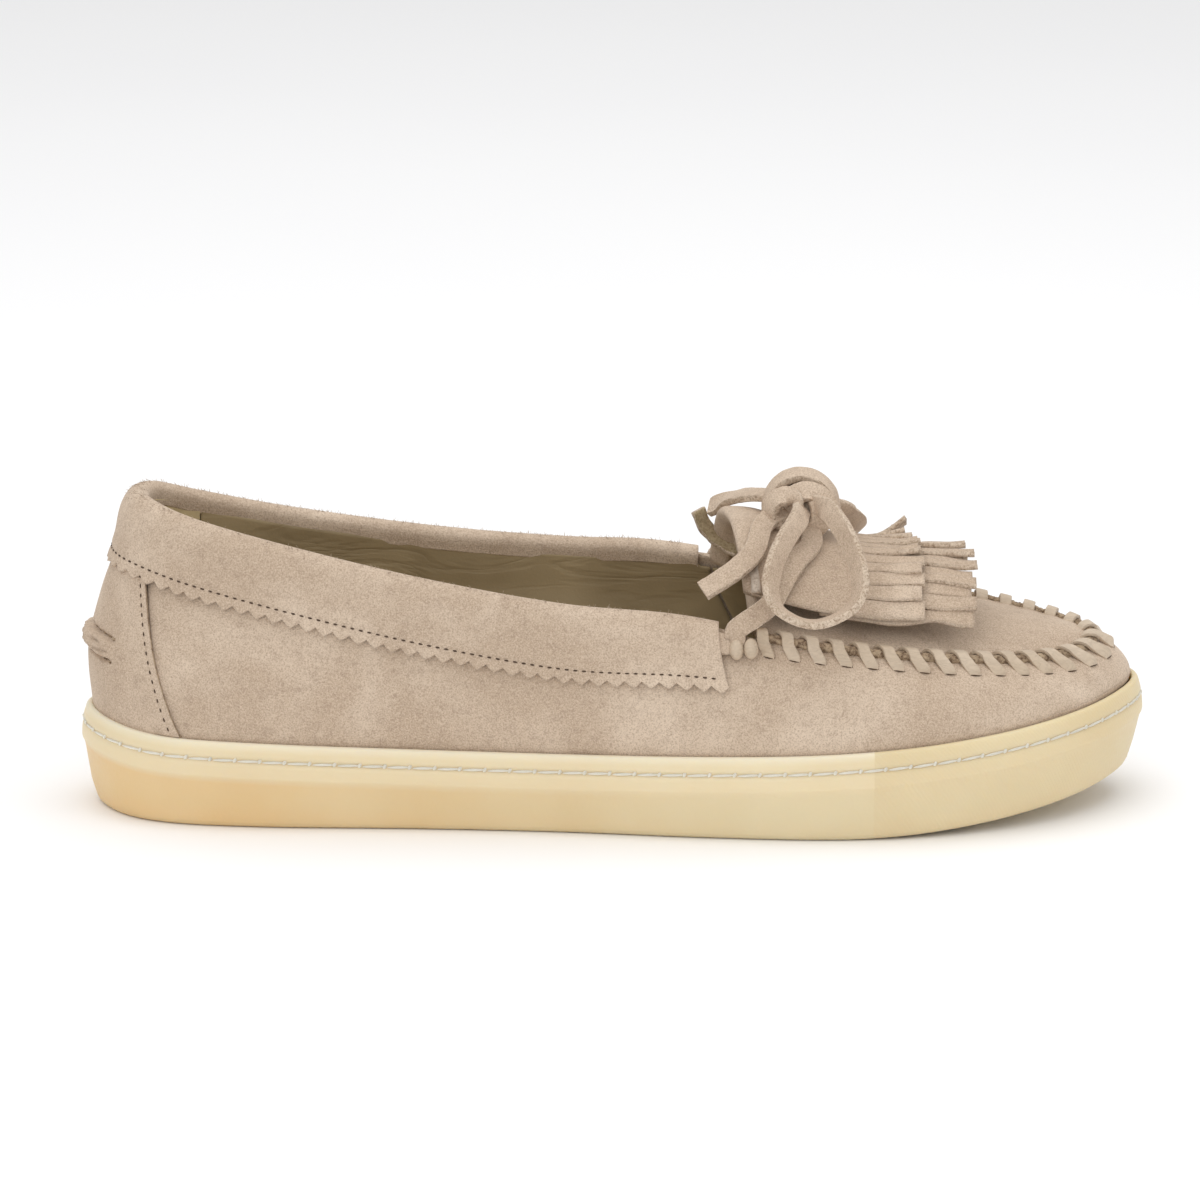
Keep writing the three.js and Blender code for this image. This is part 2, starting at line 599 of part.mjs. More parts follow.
// ---- Kiltie: the tongue folds over at the throat and lies forward as an arch --------------------
// Rows: x from the heel, half width, height of the outer and the inner foot, height of the crown.
const archRows = [
  [158, 27, 61.5, 57.5, 76.8],
  [172, 27.2, 60, 57.5, 75],
  [184, 27.5, 57, 57, 71],
  [194, 27, 55, 56.5, 68.6],
  [205, 26.5, 53.6, 56, 67],
  [216, 26, 53, 55.6, 66],
  [230, 25, 51.5, 55, 63.2],
];
const archCentre = 1;
function archPoint(x, q, lift) {
  const last = archRows.length - 2;
  const i = THREE.MathUtils.clamp(archRows.findIndex(([at]) => at > x) - 1, 0, last);
  const t = (x - archRows[i][0]) / (archRows[i + 1][0] - archRows[i][0]);
  const [, half, outerFoot, innerFoot, crown] = archRows[i].map((a, c) => lerp(a, archRows[i + 1][c], t));
  const foot = lerp(outerFoot, innerFoot, (q + 1) / 2);
  const z = foot + (crown - (outerFoot + innerFoot) / 2) * (1 - Math.abs(q) ** 2.5);
  const y = archCentre + (half + lift * Math.abs(q)) * q;
  return v3(x * gradeX - shoeLength / 2, y * gradeY, z * gradeZ + lift);
}
// A point off the arch, along its own normal.
function overArch(x, q, off) {
  const alongX = archPoint(x + 1, q, 0).sub(archPoint(x - 1, q, 0));
  const alongQ = archPoint(x, q + 0.02, 0).sub(archPoint(x, q - 0.02, 0));
  const normal = alongX.cross(alongQ).normalize();
  return { at: archPoint(x, q, 0).addScaledVector(normal, off), normal };
}
const foldAt = (q) => 165 - 4 * q; // where the kiltie folds back, from outer (-1) to inner (1) side
const fringeRoot = 194;
const upperTip = 214;
const lowerTip = 227;
const layerDrop = kiltieSkin + 0.7; // from the upper layer down to the lower one
const archAcross = steps(-1, 1, 10);
const tongueDrop = 3.2; // depth of the fold
const foldDepth = 2.4; // from the fold's edge to where the kiltie lies flat
const foldRoom = kiltieSkin / 2; // half the thickness, off the middle of the tongue
function kiltie() {
  // Side is 1 on the outer face and 0 on the inner one.
  const tongue = (t, side) =>
    archAcross.map((q) => {
      const low = apronPoint(throat, q, 0).add(v3(-2, 0, 0.3));
      const high = archPoint(foldAt(q) + 3, q * 0.93, -tongueDrop - 1.2);
      return low.lerp(high, t).add(v3(-side * foldRoom, 0, -side * foldRoom));
    });
  const turn = (side) =>
    archAcross.map((q) =>
      archPoint(foldAt(q) + foldDepth, q * 0.94, -tongueDrop).add(v3(-0.6, 0, -0.8).multiplyScalar(side)),
    );
  const edge = (side) =>
    archAcross.map((q) => archPoint(foldAt(q), q * 0.97, -tongueDrop / 2).add(v3(-side * kiltieSkin, 0, 0)));
  const flat = (x, side) => archAcross.map((q) => archPoint(x(q), q, side ? 0 : -kiltieSkin));
  const flatRows = [(q) => foldAt(q) + foldDepth, () => 172, () => 184, () => fringeRoot - gap];
  const grid = (side) => [
    tongue(0, side),
    tongue(0.5, side),
    turn(side),
    edge(side),
    ...flatRows.map((x) => flat(x, side)),
  ];
  return skin(grid(1), grid(0));
}
add("kiltie", kiltie(), "suede");

// A fringed layer: a band at the root, then strips with slits between them.
const fringeSpan = 68; // along the arch's section, from edge to edge
const strips = Math.round(fringeSpan / fringeStrip);
const fringeAcross = range(strips).flatMap((i) => {
  const cut = fringeSlit / fringeStrip / strips;
  return [(2 * i) / strips - 1 + cut, (2 * (i + 1)) / strips - 1 - cut];
});
function fringe(from, rootTo, tip, drop, narrow) {
  const rows = [from, rootTo, lerp(rootTo, tip, 0.5), tip];
  const grid = (lift) => rows.map((x) => fringeAcross.map((q) => archPoint(x, q * narrow, lift - drop)));
  return skin(grid(0), grid(-kiltieSkin), { has: (i, j) => i === 0 || j % 2 === 0 });
}
add("upper_fringe", fringe(fringeRoot, fringeRoot + 3, upperTip, 0, 1), "suede");
add("lower_fringe", fringe(fringeRoot, fringeRoot + 3, lowerTip, layerDrop, 0.985), "suede");

// ---- Lace and bow -----------------------------------------------------------------------------
const fromHeelPoint = ([x, y, z]) => v3(x * gradeX - shoeLength / 2, y * gradeY, z * gradeZ);
// A flat ribbon through the given points, each with the way that its upper face looks there.
function ribbon(path) {
  const point = (i) => path[THREE.MathUtils.clamp(i, 0, path.length - 1)].at;
  return sweep(
    path.map(({ at, normal }, i) => {
      const along = point(i + 1).clone().sub(point(i - 1)).normalize();
      const wide = new THREE.Vector3().crossVectors(normal, along).normalize();
      const thick = new THREE.Vector3().crossVectors(along, wide);
      wide.multiplyScalar(laceWidth / 2);
      thick.multiplyScalar(laceThickness / 2);
      const corner = (a, b) => at.clone().addScaledVector(wide, a).addScaledVector(thick, b);
      return [corner(1, 1), corner(-1, 1), corner(-1, -1), corner(1, -1)];
    }),
  );
}
const free = (x, y, z, normal) => ({ at: fromHeelPoint([x, y, z]), normal });

// The knot is an egg that sits on the kiltie's crown; everything it holds stops at its skin.
const knotHalf = v3(9, 7, 6.6);
const knotSlopeRoom = 0.6; // because the kiltie slopes under it
const knotAt = fromHeelPoint([184.2, 0, 71]).add(v3(0, 0, knotHalf.z + gap + knotSlopeRoom));
function knot() {
  const made = new THREE.SphereGeometry(1, 14, 8);
  made.rotateX(Math.PI / 2);
  made.scale(knotHalf.x, knotHalf.y, knotHalf.z);
  return made.translate(knotAt.x, knotAt.y, knotAt.z);
}
add("bow_knot", knot(), "suede");
// The point of the knot's skin that looks towards a path's end.
function onKnot({ at, normal }) {
  const way = at.clone().sub(knotAt).normalize();
  const reach = 1 / way.clone().divide(knotHalf).length();
  return { at: knotAt.clone().addScaledVector(way, reach + gap + facetRoom), normal };
}

// The lace runs through the collar from end to end, and each end climbs the kiltie to the knot.
const laceOff = laceThickness / 2 + gap + facetRoom; // middle of the lace over the kiltie's face
const leadOut = 0.14; // stations that the lace runs straight on past the collar
const outerClimb = [
  free(166.8, -33.8, 53, v3(0.1, -0.9, 0.4)),
  free(171.4, -32, 56, v3(0.2, -0.9, 0.4)),
  overArch(175.4, -1.04, laceOff),
  overArch(178.6, -0.88, laceOff),
  overArch(182, -0.68, laceOff),
  overArch(185.8, -0.42, laceOff),
];
const innerClimb = [
  free(163.8, 34.7, 56.2, v3(0.1, 0.9, 0.4)),
  free(169, 33.4, 59, v3(0.2, 0.9, 0.4)),
  overArch(174, 1, 2 * laceOff),
  overArch(178.8, 0.9, laceOff),
  overArch(182.8, 0.7, laceOff),
  overArch(186, 0.42, laceOff),
];
function lace() {
  const out = legBack + gap + laceThickness / 2;
  const places = [collarEnd.inner - leadOut - stations, ...collarPlaces, collarEnd.outer + leadOut];
  const hidden = places.map((k) => {
    const at = wallBelow(k, laceInset, out);
    return { at, normal: wallBelow(k, laceInset, out + 1).sub(at) };
  });
  const climb = (points) => [...points, onKnot(points[points.length - 1])];
  return ribbon([...climb(innerClimb).reverse(), ...hidden, ...climb(outerClimb)]);
}
add("lace", lace(), "suede");

// Each loop hangs from the knot: a closed curve whose band leans between its axis and its radius.
const loopLean = THREE.MathUtils.degToRad(40);
const outerLoop = [
  [182.9, -14.5, 77.2],
  [178.6, -23, 72.5],
  [176, -29.5, 67.5],
  [175.3, -33.6, 63.2],
  [176.9, -36.4, 59.3],
  [181.1, -38, 56.7],
  [186, -38.4, 55.6],
  [191.3, -37.4, 56.7],
  [195.9, -35, 59.5],
  [197.7, -32, 63.9],
  [196.6, -27, 70],
  [193.4, -19.6, 75.7],
  [189.9, -12.8, 79],
];
const innerLoop = [
  [183.9, 16.5, 77.6],
  [179.6, 25, 73.2],
  [177, 31.5, 69],
  [176.3, 35.6, 64.4],
  [177.9, 38.4, 60.5],
  [182.1, 40, 57.9],
  [187, 40.4, 56.8],
  [192.3, 39.4, 57.9],
  [196.9, 37, 60.2],
  [199.2, 33, 63.2],
  [198.9, 27, 66.4],
  [196.4, 19.8, 70],
  [195.2, 8.6, 73.6],
];
const smooth = (points, count) => new THREE.CatmullRomCurve3(points).getPoints(count);
const loopSteps = 24;
// Side is 1 for the outer loop and -1 for the inner one, which leans the other way.
function loop(points, side) {
  const hung = points.map(([x, y, z]) => free(x, y, z));
  const ends = [hung[0], hung[hung.length - 1]].map((end) => onKnot(end).at);
  const path = smooth([ends[0], ...hung.map(({ at }) => at), ends[1]], loopSteps);
  const centre = path.reduce((sum, p) => sum.add(p), v3(0, 0, 0)).divideScalar(path.length);
  const spokes = path.map((p) => p.clone().sub(centre));
  const axis = v3(0, 0, 0);
  spokes.forEach((spoke, i) => axis.add(spoke.clone().cross(spokes[(i + 1) % spokes.length])));
  axis.normalize().multiplyScalar(-side * Math.sin(loopLean));
  const normals = spokes.map((spoke) => spoke.setLength(Math.cos(loopLean)).add(axis));
  return ribbon(path.map((at, i) => ({ at, normal: normals[i] })));
}
add("outer_loop", loop(outerLoop, 1), "suede");
add("inner_loop", loop(innerLoop, -1), "suede");

// The bow's two ends lie over the kiltie and run off its fold.
const outerTail = [
  overArch(173.6, -0.4, laceOff),
  overArch(171.4, -0.72, laceOff + gap),
  free(167.4, -25, 67, v3(0.2, -0.6, 0.75)),
  free(162.6, -27, 64, v3(0.1, -0.6, 0.8)),
  free(158.4, -28, 61.6, v3(0.1, -0.6, 0.8)),
];
const innerTail = [
  free(174, 6.2, 78.4, v3(0.1, -0.3, 0.9)),
  free(168.8, 11.2, 77, v3(0.1, -0.5, 0.8)),
  free(164.6, 16.8, 74.3, v3(0.1, -0.6, 0.7)),
  free(161.2, 19.6, 72, v3(0.1, -0.6, 0.7)),
];
function tail(points, count) {
  const knots = [onKnot(points[0]), ...points];
  const normals = new THREE.CatmullRomCurve3(knots.map(({ normal }) => normal)).getPoints(count);
  return ribbon(smooth(knots.map(({ at }) => at), count).map((at, i) => ({ at, normal: normals[i] })));
}
add("outer_lace_end", tail(outerTail, 10), "suede");
add("inner_lace_end", tail(innerTail, 8), "suede");

// The thong's two ends are tied off in small hard knots beside the collar's ends.
const thongKnot = 2.3; // radius
const thongKnotBeyond = 0.2; // stations past the collar's end
const thongKnotDrop = 9; // under the wall's edge
const thongEnds = [
  ["outer", collarEnd.outer + thongKnotBeyond],
  ["inner", collarEnd.inner - thongKnotBeyond],
];
for (const [name, k] of thongEnds) {
  const made = new THREE.SphereGeometry(thongKnot, 8, 6);
  const at = wallBelow(k, thongKnotDrop, thongKnot + gap);
  add(name + "_thong_knot", made.translate(at.x, at.y, at.z), "thong");
}

export default group;
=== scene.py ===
"""The looks of a right-foot suede moccasin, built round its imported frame.

Shapes are worked out in millimetres, in the frame's own axes, and made into metres with the mesh.
"""

import bisect
import functools
import math
import random

import bmesh
import bpy
from mathutils import Matrix, Vector, geometry, noise
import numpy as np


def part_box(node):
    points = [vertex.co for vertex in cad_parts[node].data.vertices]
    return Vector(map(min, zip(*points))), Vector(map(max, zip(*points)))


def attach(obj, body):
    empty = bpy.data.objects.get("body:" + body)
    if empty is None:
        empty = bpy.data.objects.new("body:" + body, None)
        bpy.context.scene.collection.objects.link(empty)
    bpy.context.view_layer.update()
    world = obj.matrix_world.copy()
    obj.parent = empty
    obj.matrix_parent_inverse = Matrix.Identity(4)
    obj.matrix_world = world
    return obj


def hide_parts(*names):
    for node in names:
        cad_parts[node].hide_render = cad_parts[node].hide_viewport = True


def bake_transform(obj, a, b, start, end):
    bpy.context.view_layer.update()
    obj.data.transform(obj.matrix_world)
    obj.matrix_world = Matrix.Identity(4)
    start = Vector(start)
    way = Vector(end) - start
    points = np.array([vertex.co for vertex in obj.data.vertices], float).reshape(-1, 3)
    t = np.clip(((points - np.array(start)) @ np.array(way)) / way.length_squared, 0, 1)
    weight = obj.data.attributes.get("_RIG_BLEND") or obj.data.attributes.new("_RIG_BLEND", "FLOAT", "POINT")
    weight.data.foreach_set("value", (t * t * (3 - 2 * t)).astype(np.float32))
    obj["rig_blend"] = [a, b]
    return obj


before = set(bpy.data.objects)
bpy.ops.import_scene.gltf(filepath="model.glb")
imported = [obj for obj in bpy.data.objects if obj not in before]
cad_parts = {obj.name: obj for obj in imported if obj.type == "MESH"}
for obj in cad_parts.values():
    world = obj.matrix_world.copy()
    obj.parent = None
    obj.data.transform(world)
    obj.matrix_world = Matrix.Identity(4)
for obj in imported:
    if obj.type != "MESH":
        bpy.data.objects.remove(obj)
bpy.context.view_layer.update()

MM = 0.001
UP = Vector((0, 0, 1))
MERGE = 2e-6  # metres within which two points are one

# ---- Driving sizes, in millimetres ------------------------------------------------------------
SUEDE = 1.4
COLLAR_DEPTH = 17
LINING_SKIN = 0.9
LACE_WIDTH = 5.4
LACE_THICKNESS = 1.9
THONG_THICKNESS = 0.9
STROKE_WIDTH = 3.0  # the thong's width over the seam
STITCH_PITCH = 6.5
PINK_PITCH = 4.35
PINK_DEPTH = 1.7
THREAD = 0.42
STRIPS = 15

# ---- The last: the wall's foot and edge at twelve stations a side --------------------------------
# Each row: sole outline x, y; top of the rubber z; upper edge of the wall x, y, z; lean of the vamp.
LAST = [
    (0, 0, 26, 15.5, 0, 80.2, 0),
    (7, -18, 25, 19, -11, 79.4, 0),
    (22, -28.5, 23.4, 31, -18.5, 76, 0),
    (48, -33, 22.6, 54, -24, 70.6, 0),
    (85, -34.5, 21.6, 88, -28, 63.2, 0),
    (122, -37.5, 21.2, 123, -31, 57.4, 0),
    (157, -42.5, 21.8, 152.5, -32.4, 54.9, 0.2),
    (187, -45, 22.8, 181, -30.8, 48.9, 0.7),
    (213, -43, 24.4, 205, -27.8, 45, 1),
    (237, -35, 26.6, 228, -21.5, 42, 1),
    (256, -22.5, 29, 245, -12.5, 40.2, 1),
    (268, -7, 30.8, 255, -4, 40.4, 1),
    (272, 8, 31.2, 258.5, 5, 41.6, 1),
    (267, 22.5, 30.6, 255, 13.5, 42.7, 1),
    (256, 33.5, 29, 245, 20.5, 44.3, 1),
    (237, 42, 26.6, 228, 26, 47, 1),
    (213, 45, 24.4, 205, 30, 50, 1),
    (187, 43, 22.8, 179, 32.4, 53.6, 0.7),
    (157, 37, 21.8, 148, 32.8, 58.4, 0.2),
    (122, 30.5, 21.2, 123, 31, 60, 0),
    (85, 30, 21.6, 88, 28.5, 63.6, 0),
    (48, 32, 22.6, 54, 24.3, 69.3, 0),
    (22, 28, 23.4, 31, 18.5, 75, 0),
    (7, 18, 25, 19, 11, 79.2, 0),
]
STATIONS = len(LAST)
TOE = STATIONS / 2


def lerp(a, b, t):
    return a + (b - a) * t


def clamp(x, low=0.0, high=1.0):
    return max(low, min(high, x))


def smooth(x, low=0.0, high=1.0):
    t = clamp((x - low) / (high - low))
    return t * t * (3 - 2 * t)


def spline(a, b, c, d, t):
    """Catmull-Rom between b and c."""
    square = 2 * a - 5 * b + 4 * c - d
    cube = 3 * b - a - 3 * c + d
    return 0.5 * (2 * b + (c - a) * t + square * t * t + cube * t**3)


def column(c, k):
    """One column of the last at station k, 0 at the heel and 12 at the toe, round the outer side."""
    i = math.floor(k)
    return spline(*(LAST[(i + n) % STATIONS][c] for n in (-1, 0, 1, 2)), k - i)


def grades():
    """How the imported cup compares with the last's own rows, along each axis."""
    low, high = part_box("outsole_cup")
    round_it = [n / 8 for n in range(8 * STATIONS)]
    xs = [column(0, k) for k in round_it]
    ys = [column(1, k) for k in round_it]
    top = max(column(2, k) for k in round_it)
    x = (high.x - low.x) / MM / (max(xs) - min(xs))
    return x, (high.y - low.y) / MM / (max(ys) - min(ys)), high.z / MM / top


GRADE_X, GRADE_Y, GRADE_Z = grades()
LAST_LENGTH = 272  # the last's rows run from 0 at the heel to this at the toe
LENGTH = LAST_LENGTH * GRADE_X


def from_heel(x, y, z):
    return Vector((x * GRADE_X - LENGTH / 2, y * GRADE_Y, z * GRADE_Z))


def plan(c, k):
    return Vector((column(c, k) * GRADE_X - LENGTH / 2, column(c + 1, k) * GRADE_Y, 0))


@functools.lru_cache(None)
def outward(c, k):
    along = plan(c, k + 0.05) - plan(c, k - 0.05)
    return Vector((along.y, -along.x, 0)).normalized()


def outline(k, inset, z=0.0):
    return plan(0, k) - outward(0, k) * inset + UP * z


def rubber_top(k):
    return column(2, k) * GRADE_Z


def tread(x):
    return 9 * max(0, (x + LENGTH / 2) / LENGTH / 0.3 - 7 / 3) ** 1.8


# ---- The wall of the upper --------------------------------------------------------------------
WALL_INSET = 3.4
QUARTER = (0.36, 1.6, 0.36, 3.6)
VAMP = (0.42, 1, 0.16, 5)


@functools.lru_cache(None)
def section(k):
    """The wall's section at station k: four Bezier points from its foot to its edge."""
    foot = outline(k, WALL_INSET, rubber_top(k))
    head = plan(3, k) + UP * column(5, k) * GRADE_Z
    out = outward(0, k)
    vamp = clamp(column(6, k))
    low, low_out, high, high_out = (lerp(a, b, vamp) for a, b in zip(QUARTER, VAMP))
    rise = head.z - foot.z
    one = foot + out * low_out
    one.z = foot.z + rise * low
    two = head + out * high_out
    two.z = head.z - rise * high
    return foot, one, two, head


@functools.lru_cache(None)
def wall_length(k):
    points = geometry.interpolate_bezier(*section(k), 40)
    return sum((b - a).length for a, b in zip(points, points[1:]))


@functools.lru_cache(None)
def wall_side(k):
    return (plan(3, k + 0.05) - plan(3, k - 0.05)).normalized()


def wall(k, up, out=0.0):
    """A point of the wall: up is 0 where it leaves the rubber and 1 at its edge."""
    a, b, c, d = section(k)
    t = clamp(up)
    r = 1 - t
    point = a * r**3 + b * (3 * r * r * t) + c * (3 * r * t * t) + d * t**3
    along = ((b - a) * r * r + (c - b) * (2 * r * t) + (d - c) * t * t).normalized()
    face = wall_side(k).cross(along).normalized()
    return point + along * ((up - t) * wall_length(k)) + face * out


def wall_below(k, down, out=0.0):
    return wall(k, 1 - down / wall_length(k), out)


def wall_normal(k, up):
    return (wall(k, up, 1) - wall(k, up)).normalized()


COLLAR_OUTER = 6 + 1 / 3
COLLAR_INNER = 17 + 2 / 3
COLLAR_BACK = STATIONS - COLLAR_INNER
SEAM_FOOT = 2.15
SEAM_HEAD = 0.9


def heel_seam(up):
    return lerp(SEAM_FOOT, SEAM_HEAD, clamp(up))


# ---- The apron's seam -------------------------------------------------------------------------
THROAT = 6 + 2 / 3
SEAM_FROM = THROAT + 0.05
SEAM_TO = STATIONS - SEAM_FROM
SEAM_TILT = math.radians(20)


def seam_line(k):
    return plan(3, k) + UP * column(5, k) * GRADE_Z


def running_lengths(line, start, end, count=400):
    places = [lerp(start, end, i / count) for i in range(count + 1)]
    sums = [0.0]
    for a, b in zip(places, places[1:]):
        sums.append(sums[-1] + (line(b) - line(a)).length)
    return places, sums


def place_at(table, length):
    """The place along a line of running lengths where that much of it has passed."""
    places, sums = table
    i = min(max(1, bisect.bisect_left(sums, length)), len(sums) - 1)
    return lerp(places[i - 1], places[i], (length - sums[i - 1]) / (sums[i] - sums[i - 1]))


def length_at(table, place):
    places, sums = table
    i = min(max(1, bisect.bisect_left(places, place)), len(places) - 1)
    t = (place - places[i - 1]) / (places[i] - places[i - 1])
    return lerp(sums[i - 1], sums[i], t)


SEAM = running_lengths(seam_line, SEAM_FROM, SEAM_TO)
WHIPS = math.floor((SEAM[1][-1] - 5.2) / STITCH_PITCH)
WHIP_START = (SEAM[1][-1] - WHIPS * STITCH_PITCH) / 2


def seam_frame(k):
    """The seam's point at station k, and the ways along it, across it (inwards) and off it."""
    inward = -outward(3, k)
    across = inward * math.cos(SEAM_TILT) + UP * math.sin(SEAM_TILT)
    along = (seam_line(k + 0.02) - seam_line(k - 0.02)).normalized()
    rise = along.cross(across).normalized()
    return seam_line(k), along, across, rise if rise.z > 0 else -rise


def gathers(k):
    """From 0 between two stitches of the apron's seam to 1 at a stitch."""
    if not SEAM_FROM < k < SEAM_TO:
        return 0.5
    turn = (length_at(SEAM, k) - WHIP_START) / STITCH_PITCH
    return 0.5 + 0.5 * math.cos(2 * math.pi * (turn - 0.6))


# ---- The kiltie's arch ------------------------------------------------------------------------
# Rows: x from the heel, half width, height of the outer and the inner foot, height of the crown.
ARCH = [
    (158, 27, 61.5, 57.5, 76.8),
    (172, 27.2, 60, 57.5, 75),
    (184, 27.5, 57, 57, 71),
    (194, 27, 55, 56.5, 68.6),
    (205, 26.5, 53.6, 56, 67),
    (216, 26, 53, 55.6, 66),
    (230, 25, 51.5, 55, 63.2),
]
ARCH_CENTRE = 1


def arch(x, q, lift=0.0):
    """A point of the arch: x from the heel, q from -1 at its outer foot to 1 at its inner one."""
    starts = [row[0] for row in ARCH]
    i = clamp(bisect.bisect_right(starts, x) - 1, 0, len(ARCH) - 2)
    before, after = max(i - 1, 0), min(i + 2, len(ARCH) - 1)
    t = (x - ARCH[i][0]) / (ARCH[i + 1][0] - ARCH[i][0])
    half, outer, inner, crown = (
        lerp(spline(ARCH[before][c], ARCH[i][c], ARCH[i + 1][c], ARCH[after][c], clamp(t)),
             lerp(ARCH[i][c], ARCH[i + 1][c], t), 0.5)
        for c in (1, 2, 3, 4)
    )
    foot = lerp(outer, inner, (q + 1) / 2)
    z = foot + (crown - (outer + inner) / 2) * (1 - abs(q) ** 2.5)
    return from_heel(x, ARCH_CENTRE + (half + lift * abs(q)) * q, z) + UP * lift


def over_arch(x, q, off):
    along = arch(x + 1, q) - arch(x - 1, q)
    across = arch(x, q + 0.02) - arch(x, q - 0.02)
    normal = along.cross(across).normalized()
    return arch(x, q) + normal * off, normal


# ---- Meshes -----------------------------------------------------------------------------------
def sheet(columns, rows, at, size=(100, 100), marks=None):
    """A grid of quads laid out by at(s, t, off), s and t from 0 to 1, with its faces the way of off.

    Its UV map measures size, in millimetres, as metres. marks(s, t) gives values that are kept on
    the points under its names, for the materials to read.
    """
    bm = bmesh.new()
    bmesh.ops.create_grid(bm, x_segments=columns, y_segments=rows, size=0.5)
    uv = bm.loops.layers.uv.new("UVMap")
    for face in bm.faces:
        for corner in face.loops:
            s, t = corner.vert.co.x + 0.5, corner.vert.co.y + 0.5
            corner[uv].uv = (s * size[0] * MM, t * size[1] * MM)
    if marks:
        layers = {name: bm.verts.layers.float.new(name) for name in marks(0.5, 0.5)}
    for vert in bm.verts:
        s, t = vert.co.x + 0.5, vert.co.y + 0.5
        if marks:
            for name, value in marks(s, t).items():
                vert[layers[name]] = value
        vert.co = at(s, t, 0.0) * MM
    out = at(0.45, 0.45, 1.0) - at(0.45, 0.45, 0.0)
    wide = at(0.46, 0.45, 0.0) - at(0.45, 0.45, 0.0)
    tall = at(0.45, 0.46, 0.0) - at(0.45, 0.45, 0.0)
    if wide.cross(tall).dot(out) < 0:
        bmesh.ops.reverse_faces(bm, faces=bm.faces[:])
    return bm


def close_up(bm):
    """Merges a mesh where it meets itself and caps what is still open."""
    bmesh.ops.remove_doubles(bm, verts=bm.verts[:], dist=MERGE)
    bmesh.ops.holes_fill(bm, edges=bm.edges[:], sides=0)
    bmesh.ops.recalc_face_normals(bm, faces=bm.faces[:])
    return bm


def piece(name, bm, looks, body="shoe", replaces=(), thick=0.0, sharp=None):
    """Makes the object: its looks are its face, its back if it has three, and last its cut edge."""
    mesh = bpy.data.meshes.new(name)
    bm.to_mesh(mesh)
    bm.free()
    if sharp:
        mesh.set_sharp_from_angle(angle=math.radians(sharp))
    else:
        mesh.shade_smooth()
    for look in looks:
        mesh.materials.append(look)
    made = bpy.data.objects.new(name, mesh)
    bpy.context.scene.collection.objects.link(made)
    if thick:
        skin = made.modifiers.new("Thickness", "SOLIDIFY")
        skin.thickness = thick * MM
        skin.offset = -1
        skin.use_even_offset = False
        skin.material_offset = 1 if len(looks) > 2 else 0
        skin.material_offset_rim = len(looks) - 1
    if body:
        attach(made, body)
    if replaces:
        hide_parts(*replaces)
    return made


def curve_through(points, count):
    """count + 1 points on a smooth line through the given ones, each with its place, 0 to 1."""
    last = len(points) - 1
    made = []
    for n in range(count + 1):
        along = n / count * last
        i = min(math.floor(along), last - 1)
        near = [points[min(max(i + m, 0), last)] for m in (-1, 0, 1, 2)]
        if i == 0:
            near[0] = 2 * points[0] - points[1]
        if i == last - 1:
            near[3] = 2 * points[last] - points[last - 1]
        made.append(spline(*near, along - i))
    return made


# A lace's section, anticlockwise, as shares of its half width and half thickness.
LACE_SECTION = [
    (1, 0), (1, 0.62), (0.93, 0.96), (0.5, 1.04), (0, 1.06), (-0.5, 1.04), (-0.93, 0.96), (-1, 0.62),
    (-1, 0), (-1, -0.62), (-0.93, -0.96), (-0.5, -1.04), (0, -1.06), (0.5, -1.04), (0.93, -0.96),
    (1, -0.62),
]
EDGE_ROWS = (14, 15, 0, 1, 6, 7, 8, 9)


def ribbon(path, faces, width=LACE_WIDTH, thickness=LACE_THICKNESS, wander=0.05, seed=0.0):
    """A flat band along a path, with faces the way its broad side looks at each point."""
    count = len(path) - 1
    ways = []
    for i, face in enumerate(faces):
        along = (path[min(i + 1, count)] - path[max(i - 1, 0)]).normalized()
        wide = face.cross(along).normalized()
        ways.append((wide, along.cross(wide)))

    def at(s, t, off):
        i = round(s * count)
        wide, thick = ways[i]
        a, b = LACE_SECTION[round(t * len(LACE_SECTION)) % len(LACE_SECTION)]
        rough = 1 + wander * noise.noise(Vector((i * 0.37 + seed, a * 1.5, b * 2)))
        return path[i] + wide * a * width / 2 * rough + thick * b * (thickness / 2 + off) * rough

    length = sum((b - a).length for a, b in zip(path, path[1:]))
    bm = sheet(count, len(LACE_SECTION), at, (length, 2 * (width + thickness)))
    for index, face in enumerate(bm.faces):
        if index // count in EDGE_ROWS:
            face.material_index = 1
    close_up(bm)
    for face in bm.faces:
        if len(face.verts) > 4:
            face.material_index = 1
    return bm


def stitches(places, length, size=THREAD, sides=6, rings=4):
    """Short thread stitches: each place is a point, its way along and its way off the leather."""
    bm = bmesh.new()
    for at, along, out in places:
        side = out.cross(along).normalized()
        shape = Matrix.Diagonal((size / 2, size / 2, length / 2, 1))
        stand = Matrix((side, along.normalized().cross(side), along.normalized())).transposed().to_4x4()
        bmesh.ops.create_uvsphere(
            bm, u_segments=sides, v_segments=rings, radius=MM,
            matrix=Matrix.Translation(at * MM) @ stand @ shape,
        )
    return bm


# ---- Finishes ---------------------------------------------------------------------------------
def rgb(code):
    """A web colour as the linear colour that shaders take."""
    parts = [int(code[i:i + 2], 16) / 255 for i in (1, 3, 5)]
    return (*(p / 12.92 if p <= 0.04045 else ((p + 0.055) / 1.055) ** 2.4 for p in parts), 1)


def node_group(name, inputs, outputs):
    tree = bpy.data.node_groups.new(name, "ShaderNodeTree")
    for socket, kind, value in inputs:
        tree.interface.new_socket(socket, in_out="INPUT", socket_type=kind).default_value = value
    for socket, kind in outputs:
        tree.interface.new_socket(socket, in_out="OUTPUT", socket_type=kind)
    return tree, tree.nodes.new("NodeGroupInput"), tree.nodes.new("NodeGroupOutput")


COLOUR, NUMBER = "NodeSocketColor", "NodeSocketFloat"


